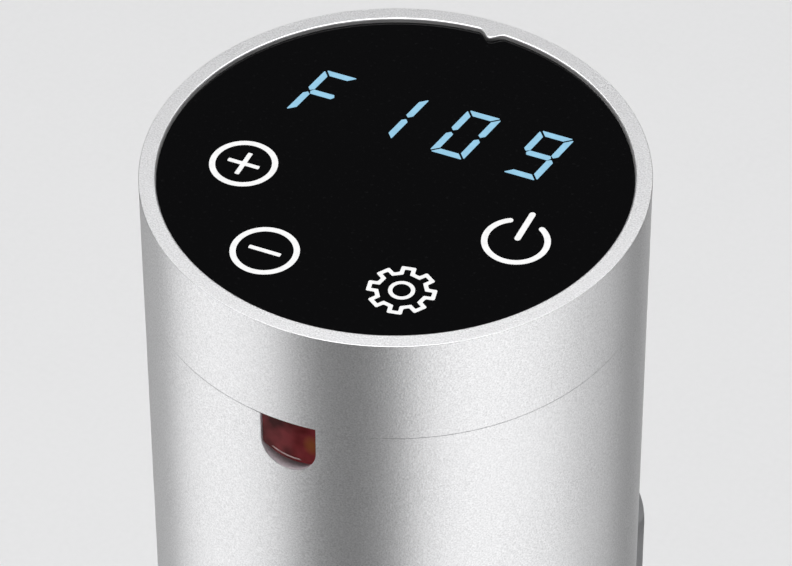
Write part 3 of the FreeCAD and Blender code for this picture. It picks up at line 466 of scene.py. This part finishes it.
def blasted_aluminium():
    """Bead blasted and clear anodised: tiny craters that break the reflections into speckle."""
    colour = (0.79, 0.79, 0.80)
    made = new_material("satin_aluminium", colour, 1.0, 0.4)
    craters = grain(made, 0.2, 2.0)
    fine = grain(made, 0.1, 1.0, seed=5.3)
    drift = grain(made, 14.0, 2.0, seed=2.2)
    speckled = shade(made, ranged(made, craters, 0, 1), tinted(colour, 0.78), tinted(colour, 1.16))
    set_input(made, "Base Color", shade(made, ranged(made, drift, 0, 0.3), speckled, tinted(colour, 1.03)))
    set_input(made, "Roughness", ranged(made, fine, 0.34, 0.46))
    add_bump(made, [(craters, 0.016), (fine, 0.006)])
    return made


def machined_aluminium():
    """Cut faces of the aluminium: paler, with tool lines around the long axis, and less of a mirror."""
    lines = (0.2, 0.2, 1.0)  # the grain is five times as long around as along
    return plain_finish("machined_aluminium", (0.86, 0.85, 0.855), 0.3, 0.08, (0.42, 0.6), 0.01, 0.55, lines)


def black_glass():
    """Polished glass, printed black behind, with the faintest film of handling on it."""
    colour, dusty = (0.002, 0.002, 0.0023), (0.006, 0.006, 0.0065)
    made = new_material("black_glass", colour, 0.0, 0.03, Specular_IOR_Level=0.22)
    film = grain(made, 9.0, 5.0)
    set_input(made, "Roughness", ranged(made, film, 0.02, 0.07, 0.45, 0.75))
    dust = grain(made, 0.5, 2.0, seed=4.4)
    set_input(made, "Base Color", shade(made, ranged(made, dust, 0, 1, 0.62, 0.8), colour, dusty))
    add_bump(made, [(grain(made, 30.0, 1.0, seed=1.1), 0.01)])
    return made


def glowing(name, colour, glow_colour, strength, patch):
    """A print that glows, its glow varying a little over patches of a size in millimetres. The display's
    segments are truly lit; on the white key prints the glow is painted light.
    """
    made = new_material(name, colour, 0.0, 0.4, Emission_Strength=strength)
    uneven = ranged(made, grain(made, patch, 2.0), 0, 1)
    weak, strong = tinted(glow_colour, 0.93), tinted(glow_colour, 1.04)
    set_input(made, "Emission Color", shade(made, uneven, weak, strong))
    set_input(made, "Base Color", shade(made, uneven, tinted(colour, 0.9), colour))
    add_bump(made, [(grain(made, 0.15, 1.0, seed=2.0), 0.002)])
    return made


def red_lens():
    """Dark red moulded window with paler and deeper zones and a warm spot near one side."""
    deep, pale, amber = (0.07, 0.004, 0.005), (0.26, 0.035, 0.04), (0.36, 0.13, 0.025)
    made = new_material("red_lens", deep, 0.0, 0.2, Specular_IOR_Level=0.07)
    zones = ranged(made, grain(made, 3.4, 2.0, seed=0.6), 0, 1, 0.38, 0.62)
    cloudy = shade(made, zones, deep, pale)
    tree = made.node_tree
    place = tree.nodes.new("ShaderNodeTexCoord")
    mapping = tree.nodes.new("ShaderNodeMapping")
    mapping.vector_type = "TEXTURE"
    mapping.inputs["Location"].default_value = Vector((2.9, -LENS_R, WINDOW_CENTRE + 1.0)) * MM
    mapping.inputs["Scale"].default_value = Vector((1.3, 3.0, 1.9)) * MM
    spot = tree.nodes.new("ShaderNodeTexGradient")
    spot.gradient_type = "SPHERICAL"
    tree.links.new(place.outputs["Object"], mapping.inputs["Vector"])
    tree.links.new(mapping.outputs["Vector"], spot.inputs["Vector"])
    warmth = ranged(made, spot.outputs["Fac"], 0, 0.8, 0.0, 0.8)
    set_input(made, "Base Color", shade(made, warmth, cloudy, amber))
    set_input(made, "Roughness", ranged(made, grain(made, 0.6, 2.0), 0.1, 0.22))
    add_bump(made, [(grain(made, 1.2, 2.0, seed=7.0), 0.02)])
    return made


def brushed(name, colour, size, rough):
    """Metal with fine upright lines."""
    made = new_material(name, colour, 1.0, rough[0])
    lines = grain(made, size, 3.0, (1.0, 1.0, 0.03))
    patches = grain(made, 11.0, 3.0, seed=6.0)
    base = shade(made, ranged(made, lines, 0, 1), tinted(colour, 0.92), tinted(colour, 1.06))
    set_input(made, "Base Color", shade(made, ranged(made, patches, 0, 0.3), base, tinted(colour, 0.86)))
    set_input(made, "Roughness", ranged(made, lines, *rough))
    add_bump(made, [(lines, 0.004)])
    return made


def heater_sheath():
    """Steel sheath with straw and blue heat tints that drift along it."""
    made = brushed("heater_sheath", (0.5, 0.47, 0.44), 0.3, (0.3, 0.45))
    tree = made.node_tree
    steel = tree.nodes["Principled BSDF"].inputs["Base Color"].links[0].from_socket
    straw_share = ranged(made, grain(made, 26.0, 3.0, seed=1.5), 0, 0.7)
    straw = shade(made, straw_share, steel, (0.45, 0.33, 0.2))
    blue_share = ranged(made, grain(made, 34.0, 3.0, seed=9.5), 0, 0.45)
    set_input(made, "Base Color", shade(made, blue_share, straw, (0.26, 0.27, 0.36)))
    return made


def floor_finish():
    """Pale studio floor."""
    return plain_finish("floor", (0.83, 0.83, 0.837), 1.5, 0.01, (0.75, 0.9), 0.02)


def card_finish():
    """Matt grey card."""
    return plain_finish("card", (0.12, 0.12, 0.12), 2.0, 0.02, (0.8, 0.9), 0.01)


FINISHES = {
    "satin_aluminium": blasted_aluminium(),
    "silver_polymer": plain_finish("silver_polymer", (0.4, 0.4, 0.415), 0.16, 0.06, (0.38, 0.5), 0.012, 0.55),
    "black_glass": black_glass(),
    "light_pipe": glowing("light_pipe", (0.085, 0.17, 0.23), (0.26, 0.52, 0.70), 0.74, 1.1),
    "red_lens": red_lens(),
    "black_polymer": plain_finish("black_polymer", (0.028, 0.028, 0.03), 0.3, 0.16, (0.42, 0.6), 0.025),
    "elastomer": plain_finish("elastomer", (0.033, 0.033, 0.034), 0.5, 0.2, (0.62, 0.85), 0.02),
    "circuit_board": plain_finish("circuit_board", (0.02, 0.13, 0.055), 1.2, 0.25, (0.3, 0.5), 0.02),
    "plain_steel": plain_finish("plain_steel", (0.58, 0.58, 0.6), 0.5, 0.07, (0.26, 0.42), 0.006, 1.0),
    "stainless_steel": brushed("stainless_steel", (0.66, 0.65, 0.63), 0.12, (0.22, 0.36)),
    "heater_sheath": heater_sheath(),
    "capacitor_sleeve": plain_finish("capacitor_sleeve", (0.05, 0.07, 0.12), 2.0, 0.15, (0.2, 0.3), 0.01),
    "magnet": plain_finish("magnet", (0.12, 0.12, 0.12), 0.25, 0.2, (0.5, 0.7), 0.02, 0.6),
    "white_acetal": plain_finish("white_acetal", (0.78, 0.78, 0.75), 0.8, 0.03, (0.35, 0.45), 0.01),
    "lead_insulation": plain_finish("lead_insulation", (0.42, 0.05, 0.04), 1.0, 0.15, (0.45, 0.6), 0.02),
}
MACHINED = machined_aluminium()
# the white key prints get a faint glow: painted light that brightens them beyond what the lamps give
WHITE_PRINT_PAINTED_GLOW = glowing("white_print_painted_glow", (0.45, 0.45, 0.45), (0.85, 0.85, 0.85), 0.5, 0.8)
# cut faces of the window slot, tinted pink: painted red light from the lens falling on the aluminium
SLOT_WALL_PAINTED_RED_LIGHT = plain_finish("slot_wall_painted_red_light", (0.76, 0.67, 0.71), 0.25, 0.12, (0.4, 0.6), 0.012)
# a painted highlight: the pale streak along the lower edge of the lens's boss
LENS_EDGE_HIGHLIGHT = plain_finish("lens_edge_highlight", (0.68, 0.47, 0.46), 0.4, 0.2, (0.3, 0.5), 0.01)


def place_piece(made, body, finish, nodes=()):
    """Finishes a new piece: its material, the body it rides on, and the nodes it stands for."""
    made.data.materials.clear()
    made.data.materials.append(finish)
    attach(made, body)
    if nodes:
        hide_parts(*nodes)
    return made


def refinish_faces(made, finish, chosen):
    """Gives another finish to the faces that pass a test of their centre, in millimetres, and normal."""
    made.data.materials.append(finish)
    for face in made.data.polygons:
        if chosen(face.center / MM, face.normal):
            face.material_index = 1
    return made


def finish_cad_nodes():
    """Gives every carried-over CAD node the procedural finish of its slot."""
    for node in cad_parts.values():
        for held in node.material_slots:
            held.material = FINISHES[held.material.name]


# ---- head -----------------------------------------------------------------------------------------
def cap_ring():
    """Cap ring: flat rim, softly broken edges, the seat of the glass with its nub, and the ledge below."""
    ledge_foot = LEDGE_TOP - 3.2
    spigot_r = SLEEVE_IN - 0.2  # of the part that reaches into the sleeve
    rim = [(BODY_R, SEAM, 0.14), (BODY_R, HEIGHT, 0.08), (SEAT_R, HEIGHT, 0.2), (SEAT_R, LEDGE_TOP, 0)]
    ledge = [(LEDGE_IN, LEDGE_TOP, 0), (LEDGE_IN, ledge_foot, 0)]
    spigot = [(spigot_r, ledge_foot, 0), (spigot_r, SEAM, 0)]
    outline = rounded(rim + ledge + spigot, 5)
    seat_zone = SEAT_R + 0.5

    def follows_nub(radius, z):
        return z > LEDGE_TOP + 0.1 and radius < seat_zone
    made = smooth(turned("cap_ring", outline, follows_nub))
    place_piece(made, "housing", FINISHES["satin_aluminium"], ["cap_bezel"])

    def in_seat(centre, normal):
        return centre.xy.length < seat_zone and abs(normal.z) < 0.5
    return refinish_faces(made, MACHINED, in_seat)


def glass_panel():
    """The touch glass, with a ground edge and a notch for the nub."""
    outline = []
    for angle in turn_angles():
        reach = GLASS_R - nub(angle)
        outline.append((-reach * math.sin(angle), reach * math.cos(angle)))
    made = sheet("glass_panel", [outline], level(GLASS_TOP), level(GLASS_FOOT), (6, 6))
    smooth(soften(made, 0.12))
    return place_piece(made, "housing", FINISHES["black_glass"], ["touch_glass"])


def printed(name, shapes):
    """Flat shapes, each with its holes, as one print that stands just proud of the glass."""
    top, foot, undivided = level(GLASS_TOP + PRINT), level(GLASS_TOP - PRINT), (9, 9)
    parts = [sheet(name, shape, top, foot, undivided) for shape in shapes]
    made = joined(name, parts)
    made.data.transform(ART_PLACE)
    return made


def eased(corners, radius, steps=3, at=(0, 0)):
    """An outline at a place, with its sharp corners rounded."""
    return rounded([(at[0] + x, at[1] + y, radius) for x, y in corners], steps)


def digit_outlines(lit):
    """Outlines of the lit segments of an upright digit about its centre."""
    half, reach, gap = 0.42, 1.74, 0.18
    outer, inner = reach + half, reach - half
    top, under = DIGIT_HALF, DIGIT_HALF - 2 * half
    bar = [(gap - outer, top), (outer - gap, top), (inner - gap, under), (gap - inner, under)]
    upright = [(outer, top - gap), (inner, under - gap), (inner, half + gap / 2), (reach, gap),
               (outer, half + gap)]
    middle = [(gap - reach, 0), (-inner, half), (inner, half), (reach - gap, 0), (inner, -half),
              (-inner, -half)]
    strokes = {"a": (bar, 1, 1), "d": (bar, 1, -1), "b": (upright, 1, 1), "c": (upright, 1, -1),
               "e": (upright, -1, -1), "f": (upright, -1, 1), "g": (middle, 1, 1)}
    outlines = []
    for key in lit:
        shape, side, way = strokes[key]
        outlines.append([(x * side, y * way) for x, y in shape])
    return outlines


def lit_digits():
    """The display reads F109; each lit segment shines through the glass."""
    slant = 0.165
    shapes = []
    for place, lit in enumerate(("aefg", "bc", "abcdef", "abcdfg")):
        middle = (place - (DIGITS - 1) / 2) * DIGIT_PITCH
        for outline in digit_outlines(lit):
            leant = [(x + y * slant, y) for x, y in outline]
            shapes.append([eased(leant, 0.07, 2, (middle, DIGIT_Y))])
    made = printed("lit_digits", shapes)
    return place_piece(made, "housing", FINISHES["light_pipe"], ["display_segments"])


def offset_outline(points, distance):
    """A closed outline moved inwards by a distance; the points run anticlockwise."""
    moved = []
    for k, point in enumerate(points):
        here = Vector(point)
        first = (here - Vector(points[k - 1])).normalized()
        second = (Vector(points[(k + 1) % len(points)]) - here).normalized()
        inward = (first + second).normalized().orthogonal()
        moved.append(tuple(here + inward * (distance / inward.dot(first.orthogonal()))))
    return moved


def gear_corners():
    """The sharp corners of eight teeth."""
    tip_r, root_r, teeth, first = 4.1, 3.12, 8, 11.0
    tip_half, root_half = 12.2, 16.4
    tooth_corners = ((root_r, -root_half), (tip_r, -tip_half), (tip_r, tip_half), (root_r, root_half))
    corners = []
    for tooth in range(teeth):
        middle = first + tooth * 360 / teeth
        for radius, side in tooth_corners:
            angle = math.radians(middle + side)
            corners.append((radius * math.cos(angle), radius * math.sin(angle)))
    return corners


def gear_shapes(x, y):
    """A gear: the line round its teeth, and its hub."""
    hub_out, hub_in, steps = 1.55, 1.06, 40
    teeth = gear_corners()
    line = [eased(teeth, 0.2, at=(x, y)), eased(offset_outline(teeth, 0.5), 0.1, at=(x, y))]
    return [line, [circle(hub_out, x, y, steps), circle(hub_in, x, y, steps)]]


def power_shapes(x, y):
    """A power mark: a ring open at the top, with round ends, and a stem through the opening."""
    ring_r, half, gap, steps = 3.65, 0.37, 33.0, 8
    first, last = 90 + gap, 450 - gap

    def round_end(angle, start):
        """The cap of the ring's line at an angle; the ring's own arcs bring its two end points."""
        end_x = x + ring_r * math.cos(math.radians(angle))
        end_y = y + ring_r * math.sin(math.radians(angle))
        return arc(half, start, start + 180, end_x, end_y, steps)[1:-1]
    ring = arc(ring_r + half, first, last, x, y, 64) + round_end(last, last)
    ring += arc(ring_r - half, last, first, x, y, 64) + round_end(first, first + 180)
    stem_low, stem_high = y + 0.5, y + 5.0
    stem = arc(half, 0, 180, x, stem_high, steps) + arc(half, 180, 360, x, stem_low, steps)
    return [[ring], [stem]]


def ringed(x, y, corners):
    """A mark from (x, y, radius) corners, with a ring round it."""
    ring_out, ring_in = 4.05, 3.33
    mark = rounded([(x + a, y + b, radius) for a, b, radius in corners], 3)
    return [[circle(ring_out, x, y), circle(ring_in, x, y)], [mark]]


def key_symbols():
    """White prints on the glass: plus, minus, gear and power, each around its touch key. They glow faintly:
    painted light that makes them brighter than the lamps alone would.
    """
    half, reach, tip = 0.285, 2.0, 0.12
    minus = [(-reach, -half, tip), (reach, -half, tip), (reach, half, tip), (-reach, half, tip)]
    plus = []
    for turn in range(4):
        quarter = Matrix.Rotation(turn * math.pi / 2, 2)
        for x, y, radius in ((-half, -reach, tip), (half, -reach, tip), (half, -half, 0)):
            plus.append((*(quarter @ Vector((x, y))), radius))
    shapes = ringed(-SIDE_KEY.x, SIDE_KEY.y, plus) + ringed(-FRONT_KEY.x, FRONT_KEY.y, minus)
    shapes += gear_shapes(FRONT_KEY.x, FRONT_KEY.y + 0.1) + power_shapes(SIDE_KEY.x + 0.05, SIDE_KEY.y + 0.15)
    return place_piece(printed("key_symbols", shapes), "housing", WHITE_PRINT_PAINTED_GLOW)


# ---- sleeve and window ----------------------------------------------------------------------------
def window_side():
    """The round-ended window's edge, drawn on the unrolled wall from its upper right corner to its left."""
    step = 0.8
    points = [(unrolled(WINDOW_HALF, BODY_R), SEAM)]
    for x, z in arc(WINDOW_HALF, 0, -180, 0, WINDOW_CENTRE, 28):
        points.append((unrolled(max(-WINDOW_HALF, min(WINDOW_HALF, x)), BODY_R), z))
    points.append((unrolled(-WINDOW_HALF, BODY_R), SEAM))
    across_the_top = math.ceil((points[0][0] - points[-1][0]) / step)  # the open top has no edge
    return divided(points, step)[:1 - across_the_top]


def bored(radius, z):
    """A round hole bored through the back of the wall, drawn on the unrolled wall."""
    return [(unrolled(x, BODY_R) - math.pi * BODY_R, z + y) for x, y in circle(radius, steps=48)]


def sleeve_outline():
    """The unrolled wall, cut down its right side, with the window open at the seam."""
    step, rows = 2.0, 22
    right, left = math.pi / 2 * BODY_R, -3 * math.pi / 2 * BODY_R
    count = math.ceil((right - left) / step)
    across = [left + (right - left) * k / count for k in range(count + 1)]
    heights = [SLEEVE_FOOT + (SEAM - SLEEVE_FOOT) * k / rows for k in range(rows + 1)]
    window = window_side()
    beside = 0.3  # no other point of the seam comes this close to the window
    outline = [(u, SLEEVE_FOOT) for u in across]
    outline += [(right, z) for z in heights[1:]]
    outline += [(u, SEAM) for u in reversed(across[:-1]) if u > window[0][0] + beside]
    outline += window
    outline += [(u, SEAM) for u in reversed(across[1:]) if u < window[-1][0] - beside]
    return outline + [(left, z) for z in reversed(heights[1:])]


def sleeve_wall():
    """Aluminium tube: window slot open at the seam, its cut faces tinted pink as painted red light from the
    lens, and the holes for the gland and the clamp's screws.
    """
    holes = [bored(GLAND_BORE_R, GLAND_Z)] + [bored(SCREW_BORE_R, z) for z in SCREWS_Z]
    outside, inner_side = rolled(BODY_R, BODY_R), rolled(SLEEVE_IN, BODY_R)
    made = sheet("sleeve_wall", [sleeve_outline()] + holes, outside, inner_side, (2, 8), True)
    soften(made, 0.1)
    smooth(made, (BODY_R, SLEEVE_IN))
    place_piece(made, "housing", FINISHES["satin_aluminium"], ["body_sleeve"])
    wall_middle, within_wall = (BODY_R + SLEEVE_IN) / 2, 0.65

    def in_slot(centre, normal):
        beside_window = centre.y < 0 and abs(centre.x) < WINDOW_HALF + 0.3
        return beside_window and abs(centre.xy.length - wall_middle) < within_wall
    # the slot's cut faces take the pink tint: painted red light from the lens
    return refinish_faces(made, SLOT_WALL_PAINTED_RED_LIGHT, in_slot)


def boss_outline():
    """Front of the lens's boss, unrolled: straight sides, and a foot that curves up to a tighter corner."""
    half, corner_r = WINDOW_HALF - 0.08, 1.0
    corner_x = half - corner_r
    left = math.degrees(math.acos((-half - BOSS_FOOT_X) / BOSS_FOOT_R))
    turn = math.asin((corner_x - BOSS_FOOT_X) / (BOSS_FOOT_R - corner_r))
    corner_z = BOSS_FOOT_Z - (BOSS_FOOT_R - corner_r) * math.cos(turn)
    meeting = math.degrees(turn) - 90
    top = SEAM - 0.1
    foot = arc(BOSS_FOOT_R, -left, meeting, BOSS_FOOT_X, BOSS_FOOT_Z, 24)
    corner = arc(corner_r, meeting + 5, 0, corner_x, corner_z, 8)  # starts just past the foot's last point
    return divided([(half, top), (-half, top)] + foot + corner, 0.6)


def window_lens():
    """Red lens: a plate behind the wall and a boss that stands in the slot."""
    plate_back_r = 25.9
    foot = WINDOW_CENTRE - WINDOW_HALF - 1.3
    half = WINDOW_HALF + 1.4
    plate_outline = divided([(-half, foot), (half, foot), (half, SEAM), (-half, SEAM)], 1.0)
    plate = sheet("lens_plate", [plate_outline], rolled(LENS_R, LENS_R), rolled(plate_back_r, LENS_R), (1, 2))
    boss_front, boss_back = rolled(BOSS_R, BOSS_R), rolled(LENS_R - 0.4, BOSS_R)
    boss = sheet("lens_boss", [boss_outline()], boss_front, boss_back, (1, 1))
    soften(boss, 0.25, steps=3)
    made = smooth(joined("window_lens", [plate, boss]))
    return place_piece(made, "housing", FINISHES["red_lens"], ["status_lens"])


def lens_edge_highlight():
    """A painted highlight: a thin pale strip along the curved foot of the boss, where its rounded edge
    catches the light.
    """
    radius, width, first, last, taper = BOSS_FOOT_R - 0.5, 0.17, -118, -86, 1.5
    curve = arc(radius, first, last, BOSS_FOOT_X, BOSS_FOOT_Z, 24)
    curve += arc(radius - width, last - taper, first + taper, BOSS_FOOT_X, BOSS_FOOT_Z, 24)
    made = sheet("lens_edge_highlight", [curve], rolled(BOSS_R + 0.05, BOSS_R), rolled(BOSS_R - 0.1, BOSS_R), (1, 1))
    return place_piece(smooth(made), "housing", LENS_EDGE_HIGHLIGHT)


# ---- pieces that keep their CAD shape, with softened edges ----------------------------------------
SOFTENED = {  # CAD node: piece, body, width of the rounded edges, finish
    "clamp_bracket": ("clamp_housing", "housing", 0.35, "silver_polymer"),
    "clamp_lever": ("lever_arm", "lever", 0.3, "silver_polymer"),
    "cord_gland": ("cord_bushing", "housing", 0.3, "elastomer"),
    "skirt_collar": ("grip_collar", "skirt", 0.25, "black_polymer"),
    "base_cap": ("foot_cap", "foot", 0.3, "black_polymer"),
}


def softened_copy(node, name, body, width, slot):
    """A copy of a CAD piece with its flats made whole and its sharp edges rounded."""
    flat = math.radians(0.5)
    work = bmesh.new()
    work.from_mesh(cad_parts[node].data)
    bmesh.ops.remove_doubles(work, verts=work.verts, dist=1e-7)
    bmesh.ops.dissolve_limit(work, angle_limit=flat, verts=work.verts, edges=work.edges)
    mesh = bpy.data.meshes.new(name)
    work.to_mesh(mesh)
    work.free()
    made = bpy.data.objects.new(name, mesh)
    bpy.context.scene.collection.objects.link(made)
    soften(made, width)
    smooth(made)
    return place_piece(made, body, FINISHES[slot], [node])


# ---- studio ---------------------------------------------------------------------------------------
VIEW_AZIMUTH = 24.8
VIEW_ELEVATION = 41.13
VIEW_DISTANCE = 0.5742
VIEW_AIM = 3.3  # millimetres below the seam
VIEW_ROLL = -0.23
SENSOR = 36.0
FOCAL_LENGTH = 223.7


def around(azimuth, distance, z):
    """A point in metres at an azimuth from the camera's, seen from above, anticlockwise."""
    angle = math.radians(VIEW_AZIMUTH + azimuth)
    return Vector((math.sin(angle) * distance, -math.cos(angle) * distance, z))


def camera():
    """The photograph's view: from the front right, looking down on the glass."""
    eye = bpy.data.cameras.new("eye")
    eye.sensor_width = SENSOR
    eye.lens = FOCAL_LENGTH
    eye.clip_start = 0.01
    seen_from = bpy.data.objects.new("eye", eye)
    bpy.context.scene.collection.objects.link(seen_from)
    rim_centre = Vector((0, 0, HEIGHT * MM))
    elevation = math.radians(VIEW_ELEVATION)
    away, up = VIEW_DISTANCE * math.cos(elevation), VIEW_DISTANCE * math.sin(elevation)
    seen_from.location = rim_centre + around(0, away, up)
    target = Vector((0, 0, (SEAM - VIEW_AIM) * MM))
    aim = (target - seen_from.location).to_track_quat("-Z", "Y")
    roll = Matrix.Rotation(math.radians(VIEW_ROLL), 4, "Z")
    seen_from.rotation_euler = (aim.to_matrix().to_4x4() @ roll).to_euler()
    bpy.context.scene.camera = seen_from


def softbox(name, place, target, width, height, radiance):
    """A rectangular light that the camera doesn't see; radiance is how bright a reflection shows it."""
    lamp = bpy.data.lights.new(name, "AREA")
    lamp.shape = "RECTANGLE"
    lamp.size = width
    lamp.size_y = height
    lamp.energy = radiance * math.pi * width * height
    held = bpy.data.objects.new(name, lamp)
    bpy.context.scene.collection.objects.link(held)
    held.location = place
    held.rotation_euler = (target - place).to_track_quat("-Z", "Y").to_euler()
    held.visible_camera = False


def under_foot(thing):
    """Marks a floor piece, which keeps under the foot when a pose pulls the lower parts off the head."""
    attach(thing, "foot")


def ground(name, finish, z):
    """A square of ground at a height in millimetres."""
    half = 4000
    corners = [(-half, -half, z), (half, -half, z), (half, half, z), (-half, half, z)]
    made = mesh_object(name, corners, [(0, 1, 2, 3)])
    made.data.materials.append(finish)
    under_foot(made)
    return made


def floor_panel(name, first, last, radiance):
    """A lit sector that lies on the floor between two azimuths and shines up only.

    The camera looks down, so the upright walls show it the floor: these panels are what shines on them.
    """
    near, far, height, steps = 0.06, 3.0, 0.015, 12
    mesh = bpy.data.meshes.new(name)
    points = []
    for k in range(steps + 1):
        azimuth = first + (last - first) * k / steps
        points += [around(azimuth, near, height), around(azimuth, far, height)]
    mesh.from_pydata(points, [], [(2 * k, 2 * k + 1, 2 * k + 3, 2 * k + 2) for k in range(steps)])
    glow = new_material(name, (0, 0, 0), 0.0, 1.0)
    tree = glow.node_tree
    side = tree.nodes.new("ShaderNodeNewGeometry")
    set_input(glow, "Emission Strength", ranged(glow, side.outputs["Backfacing"], radiance, 0, 0, 1))
    tree.nodes["Principled BSDF"].inputs["Emission Color"].default_value = (1, 1, 1, 1)
    mesh.materials.append(glow)
    panel = bpy.data.objects.new(name, mesh)
    bpy.context.scene.collection.objects.link(panel)
    panel.visible_camera = False
    panel.visible_diffuse = False
    panel.visible_shadow = False
    under_foot(panel)


def ground_pieces():
    """Pale floor, a grey card just over it that only reflections see, and the lit panels over both."""
    ground("floor", floor_finish(), FLOOR)
    card = ground("grey_card", card_finish(), FLOOR + 0.8)
    card.visible_camera = False
    card.visible_diffuse = False
    card.visible_shadow = False
    card.visible_transmission = False
    floor_panel("left_panel", -115, -48, 1.18)
    floor_panel("right_panel", 5.5, 52, 1.25)
    floor_panel("right_side_panel", 52, 80, 1.13)
    floor_panel("right_far_panel", 80, 115, 0.62)
    floor_panel("rear_right_panel", 140, 178, 0.55)
    floor_panel("rear_left_panel", 205, 226, 0.5)


def lights():
    """Soft light from above, from behind and from the front, in a dim room."""
    softbox("back_panel", around(180, 1.8, 0.64), Vector((0, 0, 0.39)), 2.4, 0.4, 0.45)
    softbox("front_fill", around(-15, 1.1, 1.75), Vector((0, 0, 0.36)), 0.9, 0.9, 1.6)
    softbox("overhead", around(180, 0.25, 1.9), Vector((0, 0, 0)), 2.2, 1.6, 3.55)
    world = bpy.data.worlds.new("dim_room")
    world.use_nodes = True
    room = world.node_tree.nodes["Background"]
    room.inputs["Color"].default_value = (1, 1, 1, 1)
    room.inputs["Strength"].default_value = 0.06
    bpy.context.scene.world = world
    bpy.context.scene.view_settings.view_transform = "Standard"


# ---- the scene ------------------------------------------------------------------------------------
finish_cad_nodes()
cap_ring()
glass_panel()
lit_digits()
key_symbols()
sleeve_wall()
window_lens()
lens_edge_highlight()
for cad_node, settings in SOFTENED.items():
    softened_copy(cad_node, *settings)
camera()
ground_pieces()
lights()
